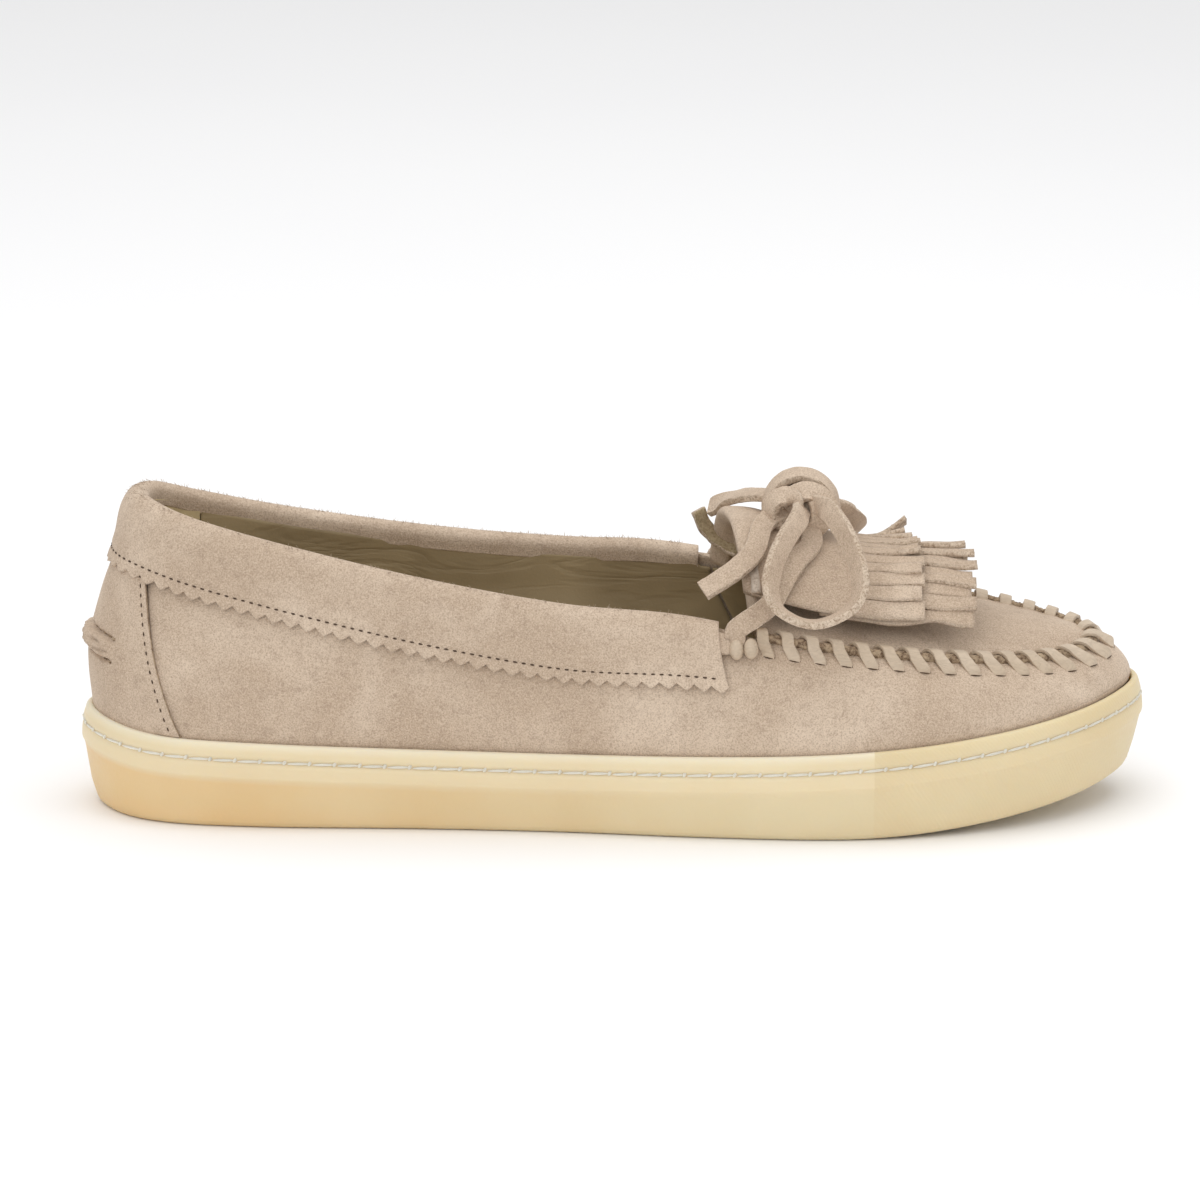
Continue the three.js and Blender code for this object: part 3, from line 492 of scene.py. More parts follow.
def noise_node(tree, scale, detail=2.0, rough=0.5, stretch=None, twist=0.0):
    """Noise on the piece's own place in the shoe, in metres."""
    place = tree.nodes.new("ShaderNodeTexCoord").outputs["Object"]
    made = tree.nodes.new("ShaderNodeTexNoise")
    made.inputs["Detail"].default_value = detail
    made.inputs["Roughness"].default_value = rough
    made.inputs["Distortion"].default_value = twist
    if stretch:
        mapping = tree.nodes.new("ShaderNodeMapping")
        mapping.inputs["Scale"].default_value = stretch
        tree.links.new(place, mapping.inputs["Vector"])
        place = mapping.outputs["Vector"]
    tree.links.new(place, made.inputs["Vector"])
    if isinstance(scale, (int, float)):
        made.inputs["Scale"].default_value = scale
    else:
        tree.links.new(scale, made.inputs["Scale"])
    return made.outputs["Fac"]


def ranged(tree, value, low, high, to_low=0.0, to_high=1.0):
    made = tree.nodes.new("ShaderNodeMapRange")
    made.inputs["From Min"].default_value = low
    made.inputs["From Max"].default_value = high
    made.inputs["To Min"].default_value = to_low
    made.inputs["To Max"].default_value = to_high
    tree.links.new(value, made.inputs["Value"])
    return made.outputs["Result"]


def mixed(tree, fac, a, b, blend="MIX"):
    made = tree.nodes.new("ShaderNodeMix")
    made.data_type = "RGBA"
    made.blend_type = blend
    made.clamp_factor = True
    targets = {s.identifier: s for s in made.inputs}
    for value, key in ((fac, "Factor_Float"), (a, "A_Color"), (b, "B_Color")):
        if isinstance(value, (int, float, tuple)):
            targets[key].default_value = value
        else:
            tree.links.new(value, targets[key])
    return next(s for s in made.outputs if s.identifier == "Result_Color")


def sums(tree, a, b, operation="ADD"):
    made = tree.nodes.new("ShaderNodeMath")
    made.operation = operation
    for value, socket in ((a, made.inputs[0]), (b, made.inputs[1])):
        if isinstance(value, (int, float)):
            socket.default_value = value
        else:
            tree.links.new(value, socket)
    return made.outputs[0]


def make_nap():
    """Brushed leather: broad clouds, finer mottling and a short speckled nap."""
    inputs = [
        ("Colour", COLOUR, (0.5, 0.4, 0.3, 1)), ("Brushed", COLOUR, (0.6, 0.5, 0.4, 1)),
        ("Shaded", COLOUR, (0.4, 0.3, 0.2, 1)), ("Clouds", NUMBER, 45.0), ("Nap", NUMBER, 1500.0),
        ("Speckle", NUMBER, 0.5),
    ]
    outputs = [("Colour", COLOUR), ("Height", NUMBER), ("Roughness", NUMBER)]
    tree, given, put = node_group("brushed nap", inputs, outputs)
    clouds = noise_node(tree, given.outputs["Clouds"], 3, 0.6, twist=0.6)
    mottle = noise_node(tree, 420, 3, 0.62)
    grain = noise_node(tree, given.outputs["Nap"], 3, 0.75)
    strokes = noise_node(tree, 900, 2, 0.6, stretch=(0.45, 0.8, 1.5))
    swept = ranged(tree, clouds, 0.42, 0.64, 0, 0.85)
    brushed = mixed(tree, swept, given.outputs["Colour"], given.outputs["Brushed"])
    colour = mixed(tree, ranged(tree, mottle, 0.5, 0.3, 0, 0.35), brushed, given.outputs["Shaded"])
    fine = sums(tree, sums(tree, grain, strokes), 0.5, "MULTIPLY")
    dark = sums(tree, ranged(tree, grain, 0.52, 0.36), given.outputs["Speckle"], "MULTIPLY")
    pale = sums(tree, ranged(tree, grain, 0.52, 0.66), given.outputs["Speckle"], "MULTIPLY")
    colour = mixed(tree, dark, colour, given.outputs["Shaded"])
    colour = mixed(tree, pale, colour, given.outputs["Brushed"])
    height = sums(tree, fine, sums(tree, mottle, 0.35, "MULTIPLY"))
    tree.links.new(colour, put.inputs["Colour"])
    tree.links.new(height, put.inputs["Height"])
    tree.links.new(ranged(tree, mottle, 0.3, 0.7, 0.86, 0.98), put.inputs["Roughness"])
    return tree


def make_wrinkles():
    """Smooth leather: creases that run together, darkened a little along their lines as painted shade, and a
    fine pored grain.
    """
    inputs = [
        ("Colour", COLOUR, (0.5, 0.4, 0.3, 1)), ("Worn", COLOUR, (0.6, 0.5, 0.4, 1)),
        ("Creases", NUMBER, 120.0), ("Pores", NUMBER, 1400.0),
    ]
    outputs = [("Colour", COLOUR), ("Height", NUMBER), ("Roughness", NUMBER)]
    tree, given, put = node_group("creased grain", inputs, outputs)
    creases = noise_node(tree, given.outputs["Creases"], 3, 0.55, stretch=(0.5, 1, 1.4), twist=1.5)
    folds = sums(tree, creases, 0.5, "SUBTRACT")
    ridge = tree.nodes.new("ShaderNodeMath")
    ridge.operation = "ABSOLUTE"
    tree.links.new(folds, ridge.inputs[0])
    crease = ranged(tree, ridge.outputs[0], 0.0, 0.09, 0.0, 1.0)
    pores = noise_node(tree, given.outputs["Pores"], 2, 0.5)
    wear = noise_node(tree, 38, 2, 0.5)
    colour = mixed(tree, ranged(tree, wear, 0.4, 0.7), given.outputs["Colour"], given.outputs["Worn"])
    # Painted shade: the crease lines are darkened by up to 7 per cent towards near-black.
    colour = mixed(tree, ranged(tree, crease, 0.0, 1.0, 0.07, 0.0), colour, (0.05, 0.035, 0.02, 1))
    tree.links.new(colour, put.inputs["Colour"])
    tree.links.new(sums(tree, crease, sums(tree, pores, 0.25, "MULTIPLY")), put.inputs["Height"])
    tree.links.new(ranged(tree, pores, 0.3, 0.7, 0.45, 0.62), put.inputs["Roughness"])
    return tree


def blank(name):
    made = bpy.data.materials.new(name)
    made.use_nodes = True
    return made, made.node_tree, made.node_tree.nodes["Principled BSDF"]


def bump(tree, shader, height, distance, strength=1.0):
    made = tree.nodes.new("ShaderNodeBump")
    made.inputs["Distance"].default_value = distance * MM
    made.inputs["Strength"].default_value = strength
    tree.links.new(height, made.inputs["Height"])
    tree.links.new(made.outputs["Normal"], shader.inputs["Normal"])


def grouped(name, group, values, depth, sheen=0.0, coat=0.0):
    """A material whose colour, roughness and bump come from one of the shared effects."""
    made, tree, shader = blank(name)
    effect = tree.nodes.new("ShaderNodeGroup")
    effect.node_tree = group
    for socket, value in values.items():
        effect.inputs[socket].default_value = value
    tree.links.new(effect.outputs["Colour"], shader.inputs["Base Color"])
    tree.links.new(effect.outputs["Roughness"], shader.inputs["Roughness"])
    bump(tree, shader, effect.outputs["Height"], depth)
    shader.inputs["Specular IOR Level"].default_value = 0.3
    shader.inputs["Sheen Weight"].default_value = sheen
    shader.inputs["Sheen Roughness"].default_value = 0.45
    shader.inputs["Sheen Tint"].default_value = rgb("#f4e6d8")
    shader.inputs["Coat Weight"].default_value = coat
    return made


def brushed_leather(name, colour, brushed, shaded, clouds=45, nap=1500, speckle=0.5, depth=0.25, sheen=0.25):
    values = {"Colour": rgb(colour), "Brushed": rgb(brushed), "Shaded": rgb(shaded)}
    values.update({"Clouds": clouds, "Nap": nap, "Speckle": speckle})
    return grouped(name, NAP, values, depth, sheen)


def smooth_leather(name, colour, worn, creases=120, pores=1400, depth=0.3, coat=0.0):
    values = {"Colour": rgb(colour), "Worn": rgb(worn), "Creases": creases, "Pores": pores}
    return grouped(name, WRINKLES, values, depth, 0.0, coat)


def make_rubber():
    """Milky gum rubber: paler at the lip and the toe, amber where the heel is thick."""
    made, tree, shader = blank("gum rubber")
    under = tree.nodes.new("ShaderNodeAttribute")
    under.attribute_name = "under_lip"
    forward = tree.nodes.new("ShaderNodeAttribute")
    forward.attribute_name = "forward"
    under, forward = under.outputs["Fac"], forward.outputs["Fac"]
    haze = noise_node(tree, 30, 2, 0.5)
    heel = ranged(tree, forward, 0.62, 0.05)
    low = mixed(tree, heel, rgb("#dcc9a2"), rgb("#e0bd87"))
    side = mixed(tree, ranged(tree, under, 0.0085, 0.0105), rgb("#e2cea8"), low)
    lip = mixed(tree, ranged(tree, under, 0.0, 0.0022), rgb("#eadcc2"), side)
    toe = mixed(tree, ranged(tree, forward, 0.7395, 0.7405), lip, rgb("#dbc69d"))
    colour = mixed(tree, ranged(tree, haze, 0.35, 0.7, 0, 0.25), toe, rgb("#f0e4c4"))
    tree.links.new(colour, shader.inputs["Base Color"])
    place = tree.nodes.new("ShaderNodeTexCoord")
    weave = tree.nodes.new("ShaderNodeTexWave")
    weave.bands_direction = "DIAGONAL"
    weave.inputs["Scale"].default_value = 420
    weave.inputs["Distortion"].default_value = 1.2
    tree.links.new(place.outputs["Object"], weave.inputs["Vector"])
    at_toe = ranged(tree, forward, 0.7395, 0.7405)
    ribs = sums(tree, weave.outputs["Fac"], at_toe, "MULTIPLY")
    fine = noise_node(tree, 900, 2, 0.5)
    bump(tree, shader, sums(tree, sums(tree, ribs, 0.5, "MULTIPLY"), fine), 0.07)
    tree.links.new(ranged(tree, fine, 0.3, 0.7, 0.38, 0.5), shader.inputs["Roughness"])
    shader.inputs["Subsurface Weight"].default_value = 0.3
    shader.inputs["Subsurface Radius"].default_value = (1.0, 0.75, 0.45)
    shader.inputs["Subsurface Scale"].default_value = 0.006
    shader.inputs["IOR"].default_value = 1.5
    return made


def make_thread(name, colour, worn, twist=2600.0):
    """A plied thread: slanting strands by fine bands, and a little fuzz."""
    made, tree, shader = blank(name)
    place = tree.nodes.new("ShaderNodeTexCoord")
    plies = tree.nodes.new("ShaderNodeTexWave")
    plies.bands_direction = "DIAGONAL"
    plies.inputs["Scale"].default_value = twist
    plies.inputs["Distortion"].default_value = 2.0
    tree.links.new(place.outputs["Object"], plies.inputs["Vector"])
    fuzz = noise_node(tree, 1800, 2, 0.6)
    colour = mixed(tree, plies.outputs["Fac"], rgb(worn), rgb(colour))
    tree.links.new(colour, shader.inputs["Base Color"])
    bump(tree, shader, sums(tree, plies.outputs["Fac"], fuzz), 0.1)
    tree.links.new(ranged(tree, fuzz, 0.3, 0.7, 0.7, 0.9), shader.inputs["Roughness"])
    return made


NAP = make_nap()
WRINKLES = make_wrinkles()
suede = brushed_leather("taupe suede", "#bfaa94", "#d8c5b0", "#998370", 26, 2500, 0.62)
suede_edge = brushed_leather("suede cut edge", "#c3af99", "#d6c5b1", "#8f7863", 120, 1500, 0.8, 0.3, 0.25)
# Brown leather for the apron seam's raw edges and the tuck's stitches; on the heel piece's cut edge the same
# brown is painted shadow beside its raised edge.
raw_edge_and_shadow = brushed_leather(
    "raw edges, and painted shadow at the heel piece's edge", "#98826a", "#b5a085", "#5d4836", 300, 900, 0.9, 0.5, 0.2,
)
flesh_side = brushed_leather("flesh side", "#b9a997", "#cdc0b1", "#998776", 90, 900, 0.7, 0.35, 0.4)
thong_leather = smooth_leather("smooth thong", "#c2af98", "#cfbea9", 300, 1800, 0.08, 0.06)
lining_leather = smooth_leather("lining leather", "#8f7d5e", "#a3906f", 42, 1300, 0.15)
heel_lining_leather = smooth_leather("heel lining leather", "#bba67d", "#c9b68e", 30, 1300, 0.08)
rubber = make_rubber()
sole_thread = make_thread("sole thread", "#fffcf2", "#faf3e0")
dark_thread = make_thread("brown thread", "#6a5442", "#3d2c20")
slot_shade = brushed_leather("shaded slot", "#4a382a", "#5c4736", "#33251b", 200, 1500, 0.5)
heel_thread = make_thread("lining thread", "#d8c9a2", "#a8946c")
# The curled tab's olive-brown is painted shade: the tab's colour as it sits in shade, not a leather of its
# own.
painted_shade_suede = brushed_leather("shaded corner", "#9c8a6c", "#b3a283", "#7d6c50", 120, 1300, 0.7)
board = smooth_leather("fibre board", "#b08a5c", "#bf9d70", 400, 1600, 0.1)
foam = brushed_leather("latex foam", "#e8e2d2", "#f2eee2", "#cfc6b0", 200, 2200, 0.6, 0.2, 0.0)
stiffener = brushed_leather("stiffener cloth", "#cfc6b4", "#ddd6c6", "#b3a891", 200, 2000, 0.5, 0.15, 0.0)

for node, look in {
    "cup_filler": foam, "insole_board": board, "footbed_foam": foam, "heel_counter": stiffener,
    "toe_puff": stiffener,
}.items():
    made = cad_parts[node]
    made.data.materials.clear()
    made.data.materials.append(look)


# ---- Camera -----------------------------------------------------------------------------------
def camera():
    lens = bpy.data.cameras.new("camera")
    lens.lens = 200
    lens.sensor_width = 36
    made = bpy.data.objects.new("camera", lens)
    bpy.context.scene.collection.objects.link(made)
    elevation = math.radians(14)
    back = Vector((0, -math.cos(elevation), math.sin(elevation)))
    aim = Vector((-3.35, 0, 52.3)) * MM
    distance = 1.7
    made.location = aim + back * distance
    made.rotation_mode = "QUATERNION"
    made.rotation_quaternion = (-back).to_track_quat("-Z", "Y")
    bpy.context.scene.camera = made


camera()

# ---- Bow: the two loops, which are free runs of the lace --------------------------------------
KNOT = from_heel(184.2, 0, 71) + UP * (6.6 + 0.3 + 0.6)
KNOT_HALF = Vector((9, 7, 6.6))


def on_knot(point, sink=2.5):
    """Where a run of the lace goes into the knot, a little under its skin."""
    way = (point - KNOT).normalized()
    reach = 1 / Vector([a / b for a, b in zip(way, KNOT_HALF)]).length
    return KNOT + way * (reach - sink)


OUTER_LOOP = [
    (182.9, -14.5, 77.2), (178.6, -23, 72.5), (176, -29.5, 67.5), (175.3, -33.6, 63.2),
    (176.9, -36.4, 59.3), (181.1, -38, 56.7), (186, -38.4, 55.6), (191.3, -37.4, 56.7),
    (195.9, -35, 59.5), (197.7, -32, 63.9), (196.6, -27, 70), (193.4, -19.6, 75.7), (189.9, -12.8, 79),
]
INNER_LOOP = [
    (183.9, 16.5, 77.6), (179.6, 25, 73.2), (177, 31.5, 69), (176.3, 35.6, 64.4),
    (177.9, 38.4, 60.5), (182.1, 40, 57.9), (187, 40.4, 56.8), (192.3, 39.4, 57.9),
    (196.9, 37, 60.2), (199.2, 33, 63.2), (198.9, 27, 66.4), (196.4, 19.8, 70), (195.2, 8.6, 73.6),
]
LOOP_LEAN = math.radians(40)


def bow_loop(name, points, side, body):
    hung = [from_heel(*point) for point in points]
    path = curve_through([on_knot(hung[0], -0.2), *hung, on_knot(hung[-1], -0.2)], 84)
    centre = sum(path, Vector()) / len(path)
    spokes = [point - centre for point in path]
    axis = sum((a.cross(b) for a, b in zip(spokes, spokes[1:])), Vector()).normalized()
    lean = axis * (-side * math.sin(LOOP_LEAN))
    faces = [spoke.normalized() * math.cos(LOOP_LEAN) + lean for spoke in spokes]
    bm = ribbon(path, faces, seed=side * 7)
    made = piece(f"bow_{name}", bm, [suede, suede_edge], body, replaces=[name], sharp=38)


bow_loop("outer_loop", OUTER_LOOP, 1, "outer_loop_body")
bow_loop("inner_loop", INNER_LOOP, -1, "inner_loop_body")


# ---- Cup sole ---------------------------------------------------------------------------------
LIP_GROOVE = 4.3  # from the lip down to the stitch groove
# The side of the cup, from the inner face over the lip to the tread: inset, and height under the
# lip (a) or over the tread (b).
CUP_SIDE = [
    (4, "b", 6), (3.4, "a", 6), (3.1, "a", 1.4), (3, "a", 0.35), (2.6, "a", 0), (2.1, "a", 0.02),
    (1.55, "a", 0.3), (1.25, "a", 0.75), (0.95, "a", 1.7), (0.6, "a", 2.9), (0.5, "a", 3.35),
    (0.56, "a", 3.75), (0.7, "a", 4.1), (0.76, "a", 4.35), (0.68, "a", 4.65), (0.46, "a", 4.95),
    (0.22, "a", 5.4), (0.1, "a", 6.2), (0.04, "a", 7.2), (0, "a", 8.2), (0.1, "a", 8.8),
    (0.42, "a", 9.3), (0.75, "a", 10.4), (2.2, "b", 6.2), (3.05, "b", 3.4), (3.5, "b", 1.9),
    (4.0, "b", 0.9), (4.7, "b", 0.3), (5.6, "b", 0), (8.5, "b", 0), (9.2, "b", 0.5), (10.6, "b", 0.5),
    (11.3, "b", 0.5),
]


def cup_point(k, row):
    inset, kind, height = CUP_SIDE[row]
    lip = rubber_top(k)
    low = tread(outline(k, 3).x)
    return outline(k, inset, lip - height if kind == "a" else low + height)


def sole():
    rows = len(CUP_SIDE) - 1

    def at(s, t, off):
        k = s * STATIONS
        point = cup_point(k, round(t * rows))
        return point + outward(0, k) * off

    def marks(s, t):
        k = s * STATIONS
        point = cup_point(k, round(t * rows))
        forward = (point.x + LENGTH / 2) / LENGTH
        return {"under_lip": max(0, rubber_top(k) - point.z) * MM, "forward": forward}

    bm = sheet(480, rows, at, (640, 40), marks)
    bmesh.ops.remove_doubles(bm, verts=bm.verts[:], dist=MERGE)
    rims = [e for e in bm.edges if e.is_boundary]
    under = {name: bm.verts.layers.float[name] for name in ("under_lip", "forward")}
    flat = [e for e in rims if all(v.co.z < (tread(v.co.x / MM) + 3) * MM for v in e.verts)]
    floor = [e for e in rims if e not in flat]
    filled = bmesh.ops.triangle_fill(bm, use_beauty=True, use_dissolve=False, edges=flat)
    bmesh.ops.triangle_fill(bm, use_beauty=True, use_dissolve=False, edges=floor)
    for element in filled["geom"]:
        if isinstance(element, bmesh.types.BMFace):
            element.smooth = True
    for vert in bm.verts:
        if vert[under["forward"]] == 0:
            vert[under["forward"]] = (vert.co.x / MM + LENGTH / 2) / LENGTH
    bmesh.ops.recalc_face_normals(bm, faces=bm.faces[:])
    lowest = min(bm.faces, key=lambda f: f.calc_center_median().z)
    if lowest.normal.z > 0:
        bmesh.ops.reverse_faces(bm, faces=bm.faces[:])
    piece("cup_sole", bm, [rubber], replaces=["outsole_cup"], sharp=50)


RIB_FIELDS = ((-112, -62), (-6, 92))  # where the bars start and end, along the sole
RIB_PITCH = 4
RIB_WIDTH = 1.6
RIB_HEIGHT = 0.6
RIB_INSET = 15


def tread_ribs():
    """Low bars across the tread, for grip, under the ball and the heel."""
    bm = bmesh.new()
    for start, end in RIB_FIELDS:
        x = start
        while x < end:
            k = min((n / 20 for n in range(20, 220)), key=lambda n: abs(outline(n, RIB_INSET).x - x))
            left = outline(k, RIB_INSET)
            other = min((n / 20 for n in range(260, 460)), key=lambda n: abs(outline(n, RIB_INSET).x - x))
            right = outline(other, RIB_INSET)
            middle = Vector((x, (left.y + right.y) / 2, tread(x) + 0.35))
            shape = Matrix.Diagonal((RIB_WIDTH, abs(right.y - left.y), RIB_HEIGHT, 1))
            bmesh.ops.create_cube(bm, size=MM, matrix=Matrix.Translation(middle * MM) @ shape)
            x += RIB_PITCH
    bmesh.ops.bevel(
        bm, geom=bm.edges[:], offset=0.2 * MM, segments=2, profile=0.5, affect="EDGES", material=-1,
    )
    marks = {"under_lip": 0.02, "forward": 0.5}
    for name, value in marks.items():
        layer = bm.verts.layers.float.new(name)
        for vert in bm.verts:
            vert[layer] = value
    piece("tread_ribs", bm, [rubber])


sole()
tread_ribs()


def groove_line(k):
    return outline(k, 0.6, rubber_top(k) - LIP_GROOVE)


def side_stitching():
    """Lockstitches round the cup: a taut run of thread, then a small knot where it goes in."""
    table = running_lengths(groove_line, 0, STATIONS, 900)
    pitch = 6.3
    count = round(table[1][-1] / pitch)
    runs, knots = [], []
    for n in range(count):
        start, end = (place_at(table, (n + share) * table[1][-1] / count) for share in (0.06, 0.96))
        a, b = groove_line(start), groove_line(end)
        out = outward(0, (start + end) / 2)
        slant = UP * 0.12
        runs.append(((a + b) / 2 + out * 0.1, b + slant - (a - slant), out))
        knots.append((b + out * 0.1 + slant, (b - a).normalized() + UP * 1.6, out))
    bm = stitches(runs, 5.7, 0.75, 8, 8)
    other = stitches(knots, 1.3, 0.95, 8, 6)
    join(bm, other)
    piece("side_stitching", bm, [sole_thread], replaces=["sole_stitching"])


def join(bm, other):
    """Adds another bmesh to this one."""
    mesh = bpy.data.meshes.new("joined")
    other.to_mesh(mesh)
    other.free()
    bm.from_mesh(mesh)
    bpy.data.meshes.remove(mesh)


side_stitching()

# ---- Wall of the upper ------------------------------------------------------------------------
STRAIGHT_FROM = 4  # station from which the wall's columns no longer slant with the heel seam
EDGE_TO_SEAM = 0.9


def wall_station(s, up):
    """The station of column s of the wall at that height: its ends slant with the heel seam."""
    k = lerp(SEAM_FOOT, STATIONS - SEAM_FOOT, s)
    seam = heel_seam(up)
    if k < STRAIGHT_FROM:
        return lerp(seam, STRAIGHT_FROM, (k - SEAM_FOOT) / (STRAIGHT_FROM - SEAM_FOOT))
    if k > STATIONS - STRAIGHT_FROM:
        back = (STATIONS - SEAM_FOOT - k) / (STRAIGHT_FROM - SEAM_FOOT)
        return STATIONS - lerp(seam, STRAIGHT_FROM, back)
    return k


def wave(point, size, amount, seed=0.0):
    """Soft unevenness of the leather."""
    return amount * noise.noise(point / size + Vector((seed, seed * 0.7, seed * 1.3)))


def wall_sheet():
    def at(s, t, off):
        up = lerp(-0.07, 1, t)
        k = wall_station(s, up)
        if up < 0:
            lean = outline(k, WALL_INSET + 0.5 * up / -0.07 - off)
            return lean + UP * (rubber_top(k) + up * wall_length(k))
        front = min(
            smooth(k, COLLAR_OUTER, COLLAR_OUTER + 0.3), smooth(-k, -COLLAR_INNER, -COLLAR_INNER + 0.3),
        )
        down = (1 - up) * wall_length(k) + front * EDGE_TO_SEAM
        point = wall_below(k, down)
        gathered = 0.55 * math.exp(-((down / 5.5) ** 2)) * front * (gathers(k) - 0.5)
        crease = wave(point, 26, 0.5, 3) * smooth(t, 0.0, 0.3) * (1 - smooth(t, 0.85, 1))
        return wall_below(k, down, off + crease - gathered)

    bm = sheet(560, 44, at, (560, 60))
    piece("wall", bm, [suede, suede_edge], replaces=["moccasin_wall"], thick=SUEDE)


wall_sheet()

# ---- Heel piece, its seams and its tuck ---------------------------------------------------------
HEEL_STAND = 2.0  # how far the heel's back stands off its last, under the collar


def heel_stand(k, down):
    """How far the heel piece and the collar over it stand out, round the very back."""
    round_back = smooth(1.8 - abs(k if k < STATIONS / 2 else k - STATIONS), 0, 1.5)
    up = 1 - down / wall_length(k)
    return HEEL_STAND * round_back * clamp(down / 13) * smooth(up, 0.0, 0.35)


TUCK_UP = 0.32
TUCK_HALF = 2.5
TUCK_REACH = 1.02


def heel_point(s, t, off=0.0):
    up = lerp(-0.07, 0.98, t)
    seam = heel_seam(up) + 0.05
    k = lerp(-seam, seam, s)
    if up < 0:
        lean = outline(k, WALL_INSET + 0.5 * up / -0.07 - 0.55 - off)
        return lean + UP * (rubber_top(k) + up * wall_length(k))
    edge = min(s, 1 - s) * 2 * seam * 17
    proud = 0.5 + 0.65 * smooth(9 - edge, 0, 9)
    from_edge = math.exp(-(((edge - 1.9) / 0.55) ** 2)) * 0.28
    level = (up - TUCK_UP) * wall_length(k)
    fade = smooth(TUCK_REACH - abs(k), 0, 0.22)
    pucker = 0.5 + 0.5 * math.cos(k * 30 + 0.6 * math.sin(k * 13))
    roll = math.sqrt(max(0.0, 1 - (level / TUCK_HALF) ** 2)) * (1.0 - 0.25 * pucker)
    for cord in (-1.6, 0, 1.6):
        twist = cord + 0.3 * math.sin(k * 9 + cord)
        roll += 1.0 * math.sqrt(max(0.0, 1 - ((level - twist) / 0.85) ** 2))
    ditch = sum(math.exp(-(((level - side * (TUCK_HALF + 0.35)) / 0.55) ** 2)) for side in (-1, 1))
    soft = wave(Vector((k * 17, level, 0)), 14, 0.5, 9) * smooth(t, 0, 0.3)
    gathered = 0.25 * pucker * math.exp(-((abs(level) - TUCK_HALF - 1) / 1.6) ** 2)
    proud += heel_stand(k, (1 - up) * wall_length(k))
    return wall(k, up, proud - from_edge + soft + fade * (roll - 1.3 * ditch - gathered) + off)


def heel():
    bm = sheet(150, 150, heel_point, (85, 62))
    # The cut edge takes the brown raw-edge leather as painted shadow on the toe side of the heel piece's
    # raised edge.
    piece(
        "heel_piece_skin", bm, [suede, raw_edge_and_shadow], replaces=["heel_piece", "heel_tuck"], thick=0.9,
    )


heel()


def heel_stitches():
    for side, name in ((1, "outer"), (-1, "inner")):
        places = []
        count = 17
        for n in range(count):
            up = lerp(0.035, 0.7, n / (count - 1))
            s = 0.5 + side * 0.5 * (1 - 2 * 1.9 / (2 * 17 * (heel_seam(up) + 0.05)))
            t = (up + 0.07) / 1.05
            at, above = heel_point(s, t, 0.02), heel_point(s, t + 0.01, 0.02)
            places.append((at, above - at, heel_point(s, t, 1) - at))
        bm = stitches(places, 1.15, 0.5)
        piece(
            f"{name}_seam_stitches", bm, [dark_thread],
            replaces=[f"{name}_heel_stitching"],
        )
    places = []
    for side in (-1, 1):
        for n in range(12):
            k = lerp(-0.95, 0.95, n / 11)
            up = TUCK_UP + side * (TUCK_HALF + 0.55) / wall_length(k)
            seam = heel_seam(up) + 0.05
            s, t = 0.5 + k / seam / 2, (up + 0.07) / 1.05
            at, beside = heel_point(s, t, 0.1), heel_point(s + 0.01, t, 0.1)
            places.append((at, beside - at, heel_point(s, t, 1) - at))
    piece("tuck_stitches", stitches(places, 1.9, 0.9), [raw_edge_and_shadow])


heel_stitches()

# ---- Collar -----------------------------------------------------------------------------------
# The collar's face from its pinked edge, over the fold, to its inner edge: down from the wall's
# edge, and out from the wall's face.
COLLAR_FACE = [
    (17, 1.75), (15.6, 1.8), (14.2, 1.75), (12.6, 1.85), (10.6, 2.1), (8.6, 2.5), (6.6, 2.95), (4.6, 3.25),
    (2.8, 3.3), (1.0, 3.05), (-0.5, 2.35), (-1.4, 1.1), (-1.75, -0.3), (-1.5, -1.6), (-0.7, -2.6),
    (0.4, -3.0), (1.5, -3.05), (2.5, -3.0), (3.5, -2.95),
]


def collar_line(k):
    return wall_below(k, COLLAR_DEPTH - 1, 1.8)


PINKED = running_lengths(collar_line, -COLLAR_BACK, COLLAR_OUTER, 900)
TEETH = round(PINKED[1][-1] / PINK_PITCH)
TOOTH_POINTS = 8


def pinked(n):
    """How far a point of the pinked edge hangs, n teeth along: pointed lobes with soft tips."""
    share = abs((n % 1) - 0.5) * 2
    uneven = 0.16 * noise.noise(Vector((math.floor(n) * 1.7, 0, 0)))
    return PINK_DEPTH * ((1 - share**1.25) - 0.5) + uneven


def collar_point(s, t, off=0.0):
    teeth = s * TEETH
    k = place_at(PINKED, s * PINKED[1][-1])
    row = t * (len(COLLAR_FACE) - 1)
    i = min(math.floor(row), len(COLLAR_FACE) - 2)
    near = [Vector(COLLAR_FACE[min(max(i + m, 0), len(COLLAR_FACE) - 1)]) for m in (-1, 0, 1, 2)]
    down, out = spline(*near, row - i)
    at_edge = clamp(1 - row / 1.6)
    down += at_edge * pinked(teeth)
    out += at_edge * 0.22 * noise.noise(Vector((teeth * 0.9, 3, 0)))
    stitched = 0.3 * math.exp(-((down - COLLAR_DEPTH + 2.8) / 0.7) ** 2) if out > 0 else 0
    point = wall_below(k, down, out)
    soft = wave(point, 22, 0.3, 5) * clamp((row - 1) / 4) * clamp((len(COLLAR_FACE) - row) / 6)
    stand = heel_stand(k, down) if out > 0 else 0
    return wall_below(k, down, out - stitched + soft + stand + off)


def collar():
    bm = sheet(TEETH * TOOTH_POINTS, 3 * (len(COLLAR_FACE) - 1), collar_point, (420, 32))
    piece("folded_collar", bm, [suede, suede_edge], replaces=["collar"], thick=1.1)


collar()


